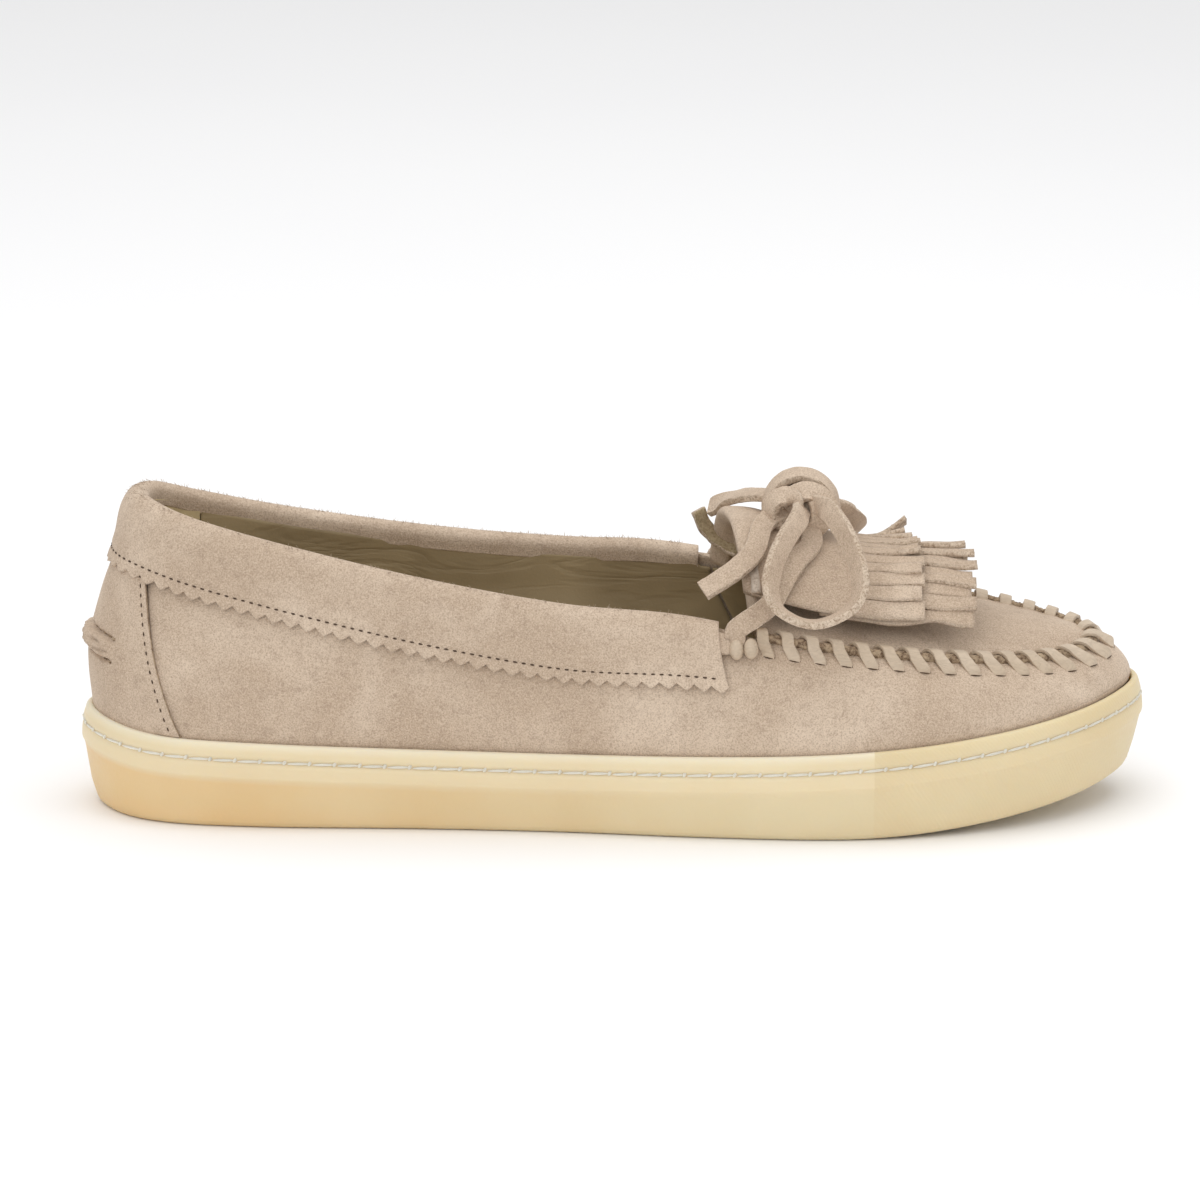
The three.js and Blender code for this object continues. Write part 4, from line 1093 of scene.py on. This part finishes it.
def collar_stitches():
    """A row over the pinked edge, and a few back along each straight front edge."""
    pitch = 2.2
    count = math.floor(PINKED[1][-1] / pitch)
    places = []
    for n in range(2, count - 1):
        k = place_at(PINKED, (n + 0.5) * pitch)
        ahead = place_at(PINKED, (n + 0.6) * pitch)
        down = COLLAR_DEPTH - 2.8
        at = wall_below(k, down, 1.52 + heel_stand(k, down))
        out = wall_normal(k, 1 - down / wall_length(k))
        after = wall_below(ahead, down, 1.52 + heel_stand(ahead, down))
        places.append((at, after - at, out))
    piece(
        "collar_stitches", stitches(places, 1.15, 0.5), [dark_thread],
        replaces=["collar_stitching"],
    )


collar_stitches()


FIBRES = 1500


def collar_fibres():
    """Loose fibres of the nap, which stand off the collar's fold."""
    chance = random.Random(7)
    bm = bmesh.new()
    for _ in range(FIBRES):
        s, t = chance.uniform(0.01, 0.99), chance.gauss(0.63, 0.05)
        at = collar_point(s, t, -0.05)
        out = (collar_point(s, t, 1) - at).normalized()
        lean = Vector((chance.uniform(-1, 1), chance.uniform(-1, 1), chance.uniform(-1, 1)))
        way = (out + 0.8 * lean).normalized()
        long = chance.uniform(0.5, 1.3)
        stand = way.to_track_quat("Z", "Y").to_matrix().to_4x4()
        bmesh.ops.create_cone(
            bm, cap_ends=True, segments=3, radius1=0.07 * MM, radius2=0.02 * MM, depth=long * MM,
            matrix=Matrix.Translation((at + way * long / 2) * MM) @ stand,
        )
    piece("collar_fibres", bm, [suede_edge])


collar_fibres()

# ---- Apron and its seam -----------------------------------------------------------------------
def apron_edge(k):
    return seam_line(k) - outward(3, k) * EDGE_TO_SEAM


def apron_point(s, t, off=0.0):
    """Across the apron by s, from the outer edge to the inner one, and along it by t to the toe."""
    k = lerp(THROAT, TOE - 0.02, t)
    q = 2 * s - 1
    dome = lerp(5.5, 2.2, t) * min(1, (1 - t) / 0.25)
    at = apron_edge(k).lerp(apron_edge(STATIONS - k), s)
    half = (apron_edge(STATIONS - k) - apron_edge(k)).length / 2
    down = half * (1 - abs(q))
    place = k if s < 0.5 else STATIONS - k
    gathered = 0.4 * math.exp(-((down / 5) ** 2)) * (gathers(place) - 0.5) * min(1, half / 6)
    lifted = 0.5 * math.exp(-((down / 1.6) ** 2))
    soft = wave(at, 24, 0.6, 11) * clamp(down / 6)
    return at + UP * (dome * (1 - q * q) + off - gathered + lifted + soft)


def apron():
    bm = sheet(60, 150, apron_point, (64, 92))
    bmesh.ops.remove_doubles(bm, verts=bm.verts[:], dist=MERGE)
    piece("apron_skin", bm, [suede, suede_edge], replaces=["apron"], thick=SUEDE)


def seam_ridge():
    """The raw edges of wall and apron, standing together under the thong."""
    rounds = 10

    def at(s, t, off):
        k = lerp(SEAM_FROM - 0.05, SEAM_TO + 0.05, s)
        line, _, across, rise = seam_frame(k)
        angle = 2 * math.pi * t
        rough = 1 + 0.22 * noise.noise(Vector((s * 420, 2 * math.cos(angle), 2 * math.sin(angle))))
        pinched = 1 - 0.22 * gathers(k)
        wide, high = 1.7 * rough * pinched, (1.15 + 0.3 * (1 - gathers(k))) * rough
        split = 0.35 * math.exp(-((math.cos(angle) / 0.25) ** 2)) * max(0, math.sin(angle))
        lifted = math.sin(angle) * (high + off) - split
        return line + across * math.cos(angle) * (wide + off) + rise * (lifted + 0.1)

    bm = sheet(900, rounds, at, (300, 8))
    close_up(bm)
    piece("seam_ridge", bm, [raw_edge_and_shadow], replaces=["seam_welt"])


# One whip of the thong, out of its hole in the apron, over the ridge, down the wall and back
# under: share of the pitch, then across, rise from the seam, or down, out from the wall.
WHIP_PATH = [
    (0.0, "seam", 2.7, -0.9), (0.05, "seam", 2.4, 0.4), (0.12, "seam", 1.4, 1.5),
    (0.22, "seam", -0.4, 1.95), (0.31, "wall", 1.9, 1.35), (0.4, "wall", 3.7, 0.95),
    (0.47, "wall", 5.2, 0.6), (0.5, "wall", 5.8, -0.8), (0.6, "wall", 4.6, -2.3),
    (0.75, "seam", -0.4, -3.0), (0.9, "seam", 2.5, -2.6),
]


def whip_station(n, share):
    """The station that whip n of the thong has reached after that share of its pitch."""
    return place_at(SEAM, min(WHIP_START + (n + share) * STITCH_PITCH, SEAM[1][-1]))


def whip_point(k, kind, a, b):
    if kind == "wall":
        return wall_below(k, a, b)
    line, _, across, rise = seam_frame(k)
    return line + across * a + rise * b


def thong():
    """One flat thong whipped round the ridge: slanted strokes over it, steep returns under it."""
    points, faces = [], []
    for n in range(-1, WHIPS):
        for share, kind, a, b in WHIP_PATH:
            k = whip_station(n, share)
            line, along, _, rise = seam_frame(k)
            point = whip_point(k, kind, a, b)
            away = point - line + rise * 0.8
            points.append(point)
            faces.append((away - along * away.dot(along)).normalized())
    count = 4 * (len(points) - 1)
    path, turned = curve_through(points, count), curve_through(faces, count)
    bm = ribbon(path, turned, STROKE_WIDTH, THONG_THICKNESS, 0.04, 1)
    piece(
        "whipped_thong", bm, [thong_leather, thong_leather], replaces=["whip_thong"],
        sharp=40,
    )


def thong_holes():
    """The slot at the foot of each stroke, where the thong goes through the wall: a dark sheet of painted
    shade.
    """
    bm = bmesh.new()
    for n in range(-1, WHIPS):
        k = whip_station(n, 0.5)
        at = wall_below(k, 5.9, 0.08)
        along = seam_frame(k)[1]
        out = wall_normal(k, 0.95)
        side = out.cross(along).normalized()
        stand = Matrix((along, side, out)).transposed().to_4x4()
        bmesh.ops.create_uvsphere(
            bm, u_segments=10, v_segments=6, radius=MM,
            matrix=Matrix.Translation(at * MM) @ stand @ Matrix.Diagonal((1.6, 0.45, 0.2, 1)),
        )
    piece("thong_slots", bm, [slot_shade])


apron()
seam_ridge()
thong()
thong_holes()


BEAD = (1.85, 2.7, 1.9)


def thong_knots():
    """Each end of the thong is tied off in two hard turns beside the collar."""
    for name, k, side in (
        ("outer", COLLAR_OUTER + 0.2, 1), ("inner", COLLAR_INNER - 0.2, -1),
    ):
        bm = bmesh.new()
        centre = wall_below(k, 5.4, 2.2)
        out = wall_normal(k, 0.8)
        along = wall_side(k) * side
        up = out.cross(along).normalized()
        up = up if up.z > 0 else -up
        for shift, lift in ((-1.7, -0.3), (1.9, 0.2)):
            at = centre + along * shift + out * lift
            stand = Matrix((along, up, out)).transposed().to_4x4()
            bmesh.ops.create_uvsphere(
                bm, u_segments=20, v_segments=12, radius=MM,
                matrix=Matrix.Translation(at * MM) @ stand @ Matrix.Diagonal((*BEAD, 1)),
            )
        bmesh.ops.recalc_face_normals(bm, faces=bm.faces[:])
        piece(
            f"{name}_tied_end", bm, [thong_leather, thong_leather],
            replaces=[f"{name}_thong_knot"],
        )


thong_knots()

# ---- Linings ----------------------------------------------------------------------------------
def lining_depth(k):
    from_heel = min(k % STATIONS, STATIONS - k % STATIONS)
    heel = clamp((3.7 - from_heel) / 0.6)
    toe = clamp((2.7 - abs(k - TOE)) / 0.6)
    return -2.0 - max(heel, toe) * 1.6


BED = [18.5, 18, 17, 14.8, 12.8, 12.6, 15.2, 21.5]
SKIRT = 0.16  # share of a lining's rows that turn in from the wall's foot to the sock


def bed(x):
    """Height of the sock under the foot."""
    along = clamp((x / LENGTH + 0.5) * (len(BED) - 1), 0, len(BED) - 1.001)
    i = math.floor(along)
    return lerp(BED[i], BED[i + 1], smooth(along - i)) * GRADE_Z


def lining(name, start, end, look, replaces):
    def at(s, t, off):
        k = lerp(start, end, s)
        front = COLLAR_OUTER < k < COLLAR_INNER
        top = 3.2 if front else 1.9
        down = lerp(wall_length(k), top, (max(t, SKIRT) - SKIRT) / (1 - SKIRT))
        depth = lerp(lining_depth(k), -2.1, 0 if front else smooth(t, 0.72, 0.97))
        point = wall_below(k, down)
        slack = wave(Vector((point.x * 0.6, point.y, point.z * 1.5)), 14, 0.5, 21) + wave(point, 6, 0.1, 2)
        edge = min(s, 1 - s, (1 - t) * 3)
        face = wall_below(k, down, depth + slack * clamp(edge * 12) - off)
        if t >= SKIRT:
            return face
        foot = outline(k, 8.4)
        foot.z = bed(foot.x) + 0.4 + off
        share = t / SKIRT
        bowed = outward(0, k) * 1.2 * math.sin(math.pi * share)
        return foot.lerp(face, share) + bowed

    bm = sheet(max(24, round((end - start) * 26)), 50, at, (120, 55))
    piece(name, bm, [look, look], replaces=replaces, thick=-LINING_SKIN)


lining("heel_grip", -1.9, 1.9, heel_lining_leather, ["heel_lining"])
lining("outer_lining", 1.92, COLLAR_OUTER + 0.1, lining_leather, ["outer_quarter_lining"])
lining("inner_lining", COLLAR_INNER - 0.1, STATIONS - 1.92, lining_leather, ["inner_quarter_lining"])
lining("toe_lining", COLLAR_OUTER + 0.12, COLLAR_INNER - 0.12, lining_leather, ["vamp_lining"])


def under_apron():
    """The lining's roof, close under the apron."""
    def at(s, t, off):
        return apron_point(lerp(0.06, 0.94, s), lerp(0, 0.93, t)) - UP * (SUEDE + 1.2 + off)

    piece("apron_lining", sheet(24, 40, at, (60, 85)), [lining_leather], thick=LINING_SKIN)


under_apron()


def lining_seams():
    """A zigzag over the join between the heel lining and each quarter's lining."""
    for name, side in (("outer", 1), ("inner", -1)):
        places = []
        for n in range(22):
            k = side * 1.91
            down = 6.8 + n * 1.7
            at = wall_below(k + side * 0.02 * (-1) ** n, down, lining_depth(k) - 0.25)
            way = wall_below(k, down + 1) - wall_below(k, down)
            slant = way.normalized() + wall_side(k) * (0.9 * (-1) ** n)
            places.append((at, slant, -wall_normal(k, 0.5)))
        piece(f"{name}_lining_seam", stitches(places, 2.1, 0.5), [heel_thread])


lining_seams()

def sock():
    """The insole's leather, dished a little, up against the linings."""
    def at(s, t, off):
        k = lerp(0.02, TOE - 0.02, t)
        edge = outline(k, 7.4), outline(STATIONS - k, 7.4)
        point = edge[0].lerp(edge[1], s)
        rim = 1.2 * abs(2 * s - 1) ** 6
        return point + UP * (bed(point.x) + rim + off + wave(point, 16, 0.3, 4))

    bm = sheet(40, 130, at, (80, 256))
    bmesh.ops.remove_doubles(bm, verts=bm.verts[:], dist=MERGE)
    piece("sock", bm, [heel_lining_leather, suede_edge], replaces=["sock_liner"], thick=1.1)


sock()

# ---- Kiltie and its fringe ----------------------------------------------------------------------
FRINGE_FROM = 198
FLAP = 1.3  # thickness of the kiltie's leather
STRIP_POINTS = 5
SLIT = 0.36


def kiltie_line(q):
    """The middle of the kiltie from the throat, over its fold and forward, at one place across."""
    fold = 165 - 4 * q
    foot = apron_point((q * 0.96 + 1) / 2, 0.0) + Vector((-1.5, 0, -0.4))
    under = arch(fold + 4.5, q * 0.93, -5.2)
    turned = [
        arch(fold + 1.9, q * 0.94, -4.4), arch(fold + 0.1, q * 0.955, -3.0),
        arch(fold - 0.5, q * 0.97, -1.6), arch(fold + 0.5, q * 0.985, -0.4),
    ]
    flat = [arch(x, q) for x in (fold + 3, 172, 178, 184, 190, 194, FRINGE_FROM)]
    return [foot, foot.lerp(under, 0.5), under, *turned, *flat]


def strip_of(column):
    """Which strip a column of the sheet is in, and its place across it; between strips is a slit."""
    strip, point = divmod(column, STRIP_POINTS)
    return strip, point / (STRIP_POINTS - 1)


def strip_across(column):
    strip, point = strip_of(column)
    width = 2 / STRIPS
    cut = SLIT / 4.5 / STRIPS
    return -1 + strip * width + cut + point * (width - 2 * cut)


# How each strip lies: how far its tip lifts, swings sideways, curls across, and its extra length.
UPPER_TIPS = [
    (0.2, 0.6, 0.5, 0.4), (0.5, -0.2, 0.6, -0.2), (0.6, 0.3, 0.8, 0.6), (1.0, -0.5, 0.5, 0.0),
    (0.4, 0.2, 0.6, 0.9), (1.9, 0.8, 1.1, -0.6), (0.7, -0.6, 0.6, 0.2), (1.6, 0.5, 0.9, -0.5),
    (0.6, 0.0, 0.7, 0.4), (1.4, -0.7, 1.0, -1.6), (0.8, 0.6, 0.6, -2.0), (2.4, 0.2, 1.2, -3.4),
    (5.6, 1.0, 1.4, -3.2), (2.2, -0.4, 1.0, -5.0), (6.4, 1.4, 1.2, -6.0),
]
LOWER_TIPS = [
    (0.3, 0.8, 0.5, 0.2), (0.9, -0.3, 0.7, 0.8), (0.3, 0.4, 0.6, -0.4), (1.6, -0.2, 0.9, 0.9),
    (0.6, 0.4, 0.7, 0.1), (2.4, 0.7, 0.9, 1.4), (1.2, -0.5, 0.7, 0.6), (3.2, 0.4, 0.8, 1.0),
    (1.5, -0.3, 0.6, -0.6), (3.4, 0.6, 1.0, -1.0), (1.4, 0.2, 0.8, -2.4), (2.8, -0.4, 1.0, -3.0),
    (1.0, 0.5, 0.7, -4.0), (2.6, -0.6, 0.8, -6.0), (1.0, 0.6, 0.6, -8.0),
]


def slit_waver(slit, x, drop):
    """Slits are cut by hand: they wander a little."""
    return 0.035 * noise.noise(Vector((slit * 5.1, x * 0.09, drop)))


def strip_point(column, x, tip, tips, drop, narrow, off):
    strip, side = strip_of(column)
    lift, swing, curl, longer = tips[strip]
    q = strip_across(column) * narrow
    waver = lerp(slit_waver(strip, x, drop), slit_waver(strip + 1, x, drop), side)
    q += waver * clamp((x - FRINGE_FROM) / 5)
    reach = (x - FRINGE_FROM) / (tip - FRINGE_FROM)
    bend = max(0.0, reach) ** 1.8
    x += longer * max(0.0, reach)
    wobble = 0.45 * noise.noise(Vector((x * 0.13, strip * 3.7, drop)))
    cupped = curl * 0.55 * (2 * side - 1) ** 2 * bend
    point = arch(min(x, 229.9), q, -drop)
    spread = Vector((0, swing * bend * 0.9, 0))
    return point + spread + UP * (lift * bend + cupped + wobble * max(0.0, reach) + off)


def slit_sheet(columns, rows, at, size, cut_from):
    """A sheet whose slit columns are cut out from row cut_from on."""
    bm = sheet(columns, rows, at, size)
    bm.faces.ensure_lookup_table()
    gone = []
    for index, face in enumerate(bm.faces):
        row, column = divmod(index, columns)
        if column % STRIP_POINTS == STRIP_POINTS - 1 and row >= cut_from:
            gone.append(face)
    bmesh.ops.delete(bm, geom=gone, context="FACES")
    return bm


def kiltie():
    columns = STRIPS * STRIP_POINTS - 1
    over, out = 60, 26
    lines = {}
    for column in range(columns + 1):
        lines[column] = curve_through(kiltie_line(strip_across(column)), over)

    def at(s, t, off):
        column, row = round(s * columns), t * (over + out)
        near = min(columns, max(0, column))
        if row <= over:
            points = lines[near]
            i = round(min(row, over))
            point = points[i]
            ahead = points[min(i + 1, over)] - points[max(i - 1, 0)]
            beside = lines[min(near + 1, columns)][i] - lines[max(near - 1, 0)][i]
            normal = ahead.cross(beside).normalized()
            soft = wave(point, 15, 0.7, 31) * clamp(i / 20)
            return point + normal * (off + soft)
        x = lerp(FRINGE_FROM, 214, (row - over) / out)
        settle = arch(x, strip_across(near))
        soft = wave(settle, 15, 0.7, 31) * (1 - clamp((row - over) / 8))
        return strip_point(near, x, 214, UPPER_TIPS, 0, 1, off + soft)

    bm = slit_sheet(columns, over + out, at, (68, 100), over)
    made = piece(
        "fringed_kiltie", bm, [suede, flesh_side, suede_edge], None,
        replaces=["kiltie", "upper_fringe"], thick=FLAP,
    )
    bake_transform(made, "shoe", "fringe", start=FOLD_START, end=FOLD_END)


def under_fringe():
    columns = STRIPS * STRIP_POINTS - 1
    rows, root = 40, 8

    def at(s, t, off):
        column = round(s * columns)
        x = lerp(188, 227, t)
        drop = 2.1
        return strip_point(column, x, 227, LOWER_TIPS, drop, 0.985, off)

    bm = slit_sheet(columns, rows, at, (66, 40), root)
    made = piece(
        "lower_fringe_skin", bm, [suede, flesh_side, suede_edge], None, replaces=["lower_fringe"],
        thick=FLAP,
    )
    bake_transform(made, "shoe", "fringe", start=FOLD_START, end=FOLD_END)


FOLD_START = from_heel(189, 1, 68) * MM
FOLD_END = from_heel(199, 1, 68) * MM
kiltie()
under_fringe()


def curled_tab():
    """The inner corner of the tongue, which curls up over the fold; its olive-brown colour is painted shade.
    """
    path = curve_through([
        from_heel(*point) for point in (
            (168.5, 15.5, 61.5), (165.5, 17, 62.5), (162, 18, 64.8), (159.2, 18.5, 68), (157.8, 18.5, 71.6),
        )
    ], 20)
    faces = [Vector((0.5, -0.75, 0.45))] * 21
    # Painted shade: the tab takes the dark olive-brown of its shaded corner.
    piece("curled_tab", ribbon(path, faces, 4.2, 1.3, 0.2, 3), [painted_shade_suede, suede_edge])


curled_tab()

# ---- Lace: through the collar, up to the knot, and the bow's two ends ----------------------------
LACE_OFF = 1.55


def free(x, y, z, normal):
    return from_heel(x, y, z), Vector(normal)


OUTER_CLIMB = [
    free(166.8, -33.8, 53, (0.1, -0.9, 0.4)), free(171.4, -32, 56, (0.2, -0.9, 0.4)),
    over_arch(175.4, -1.04, LACE_OFF), over_arch(178.6, -0.88, LACE_OFF),
    over_arch(182, -0.68, LACE_OFF), over_arch(185.8, -0.42, LACE_OFF),
]
INNER_CLIMB = [
    free(163.8, 34.7, 56.2, (0.1, 0.9, 0.4)), free(169, 33.4, 59, (0.2, 0.9, 0.4)),
    over_arch(174, 1, 2 * LACE_OFF), over_arch(178.8, 0.9, LACE_OFF),
    over_arch(182.8, 0.7, LACE_OFF), over_arch(186, 0.42, LACE_OFF),
]


def lace():
    hidden = []
    for n in range(41):
        k = lerp(-COLLAR_BACK - 0.1, COLLAR_OUTER + 0.1, n / 40)
        point = wall_below(k, 4.2, 1.1)
        hidden.append((point, wall_below(k, 4.2, 2.1) - point))
    ends = [(on_knot(run[-1][0]), run[-1][1]) for run in (INNER_CLIMB, OUTER_CLIMB)]
    points = [ends[0], *INNER_CLIMB[::-1], *hidden, *OUTER_CLIMB, ends[1]]
    count = 5 * (len(points) - 1)
    path = curve_through([point for point, normal in points], count)
    faces = curve_through([normal for point, normal in points], count)
    piece("running_lace", ribbon(path, faces, seed=2), [suede, suede_edge], replaces=["lace"], sharp=38)


OUTER_TAIL = [
    over_arch(173.6, -0.4, LACE_OFF), over_arch(171.4, -0.72, LACE_OFF + 0.3),
    free(167.4, -25, 67, (0.2, -0.6, 0.75)), free(162.6, -27, 64, (0.1, -0.6, 0.8)),
    free(158.4, -28, 61.6, (0.1, -0.6, 0.8)),
]
INNER_TAIL = [
    free(174, 6.2, 78.4, (0.1, -0.3, 0.9)), free(168.8, 11.2, 77, (0.1, -0.5, 0.8)),
    free(164.6, 16.8, 74.3, (0.1, -0.6, 0.7)), free(161.2, 19.6, 72, (0.1, -0.6, 0.7)),
]


def bow_end(name, points, body, node, seed):
    knots = [(on_knot(points[0][0]), points[0][1]), *points]
    path = curve_through([point for point, normal in knots], 44)
    faces = curve_through([normal for point, normal in knots], 44)
    piece(name, ribbon(path, faces, seed=seed), [suede, suede_edge], body, replaces=[node], sharp=38)


lace()
bow_end("near_bow_end", OUTER_TAIL, "outer_end_body", "outer_lace_end", 5)
bow_end("far_bow_end", INNER_TAIL, "inner_end_body", "inner_lace_end", 6)


def knot_run(points, radial, seed, side=-1, count=44):
    """A run of the lace on the knot: its broad side looks away from the knot and to one side."""
    path = curve_through([from_heel(*point) for point in points], count)
    centre = from_heel(184.4, 0, 77.6)
    faces = []
    for point in path:
        away = Vector((point.x - centre.x, 0, point.z - centre.z)).normalized()
        faces.append((away * radial + Vector((0, side, 0)) * (1 - radial)).normalized())
    return ribbon(path, faces, seed=seed)


def knot():
    """The knot: two runs that wrap over its top, a coil beside them and what is under them."""
    bm = bmesh.new()
    at = KNOT + Vector((0.2, 0.8, -1.8))
    bmesh.ops.create_uvsphere(
        bm, u_segments=28, v_segments=18, radius=MM,
        matrix=Matrix.Translation(at * MM) @ Matrix.Diagonal((6.2, 7.0, 4.4, 1)),
    )
    over_front = [
        (179.8, -4.2, 75.6), (180.2, -4.9, 78.6), (181.9, -5.2, 80.9), (184.8, -5.2, 81.9),
        (187.9, -5.0, 81), (190.2, -4.9, 78.6), (191.4, -4.8, 75.4), (191.2, -4.4, 72.4),
    ]
    over_back = [
        (176.2, 0.8, 72.8), (175.2, 0.8, 76.6), (176.5, 1.0, 80.8), (179.6, 1.2, 83.9),
        (184, 1.2, 84.9), (188.4, 1.2, 83.5), (191.5, 1.2, 80), (192.5, 1.2, 75.6),
    ]
    coil = [
        (180.4, -5.6, 71.6), (177.3, -6.6, 73.2), (175.7, -7.4, 76.6), (176.7, -8, 80), (179.6, -8, 81.3),
        (182, -7.4, 79.4), (181.6, -6.2, 76.4), (180, -4.8, 75.0),
    ]
    across = [
        (188, -7.0, 80.2), (188.6, -7.6, 77.2), (188, -7.2, 74), (186, -5.8, 71.6),
    ]
    over_far = [
        (179.0, 3.9, 72.6), (178.6, 5, 76), (179.6, 5.8, 79.6), (182, 6.2, 81.8), (185.2, 6.3, 82.2),
        (188.2, 6.1, 80.6), (190, 5.6, 77.4), (190.2, 4.6, 73.6),
    ]
    under_far = [
        (180.4, 7.4, 79.6), (183.6, 8.4, 77.8), (186.6, 8.2, 75.6), (189, 6.6, 73.2),
    ]
    for points, radial, seed, side in (
        (over_front, 0.5, 11, -1), (over_back, 0.8, 12, -1), (coil, 0.62, 13, -1), (across, 0.2, 14, -1),
        (over_far, 0.5, 15, 1), (under_far, 0.1, 16, 1),
    ):
        join(bm, knot_run(points, radial, seed, side))
    piece("lace_knot", bm, [suede, suede_edge], replaces=["bow_knot"], sharp=38)


knot()


# ---- Floor and light ------------------------------------------------------------------------------
def studio():
    floor = bmesh.new()
    bmesh.ops.create_grid(floor, x_segments=1, y_segments=1, size=4)
    mesh = bpy.data.meshes.new("floor")
    floor.to_mesh(mesh)
    floor.free()
    made, tree, shader = blank("pale floor")
    haze = noise_node(tree, 2.0)
    tree.links.new(mixed(tree, haze, rgb("#f7f7f8"), rgb("#fcfcfc")), shader.inputs["Base Color"])
    shader.inputs["Roughness"].default_value = 0.9
    mesh.materials.append(made)
    ground = bpy.data.objects.new("floor", mesh)
    bpy.context.scene.collection.objects.link(ground)
    for name, place, size, watts in (
        ("overhead", (0, 0.1, 1.3), 1.6, 9), ("front", (-0.5, -1.5, 1.0), 1.2, 6),
        ("right", (1.3, -0.6, 0.8), 0.8, 2),
    ):
        light = bpy.data.lights.new(name, "AREA")
        light.shape = "SQUARE"
        light.size = size
        light.energy = watts
        lamp = bpy.data.objects.new(name, light)
        lamp.location = place
        lamp.rotation_mode = "QUATERNION"
        lamp.rotation_quaternion = (-Vector(place)).to_track_quat("-Z", "Y")
        bpy.context.scene.collection.objects.link(lamp)
    world = bpy.data.worlds.new("studio")
    world.use_nodes = True
    world.node_tree.nodes["Background"].inputs["Color"].default_value = (1, 1, 1, 1)
    world.node_tree.nodes["Background"].inputs["Strength"].default_value = 0.7
    bpy.context.scene.world = world
    bpy.context.scene.view_settings.view_transform = "Standard"


studio()
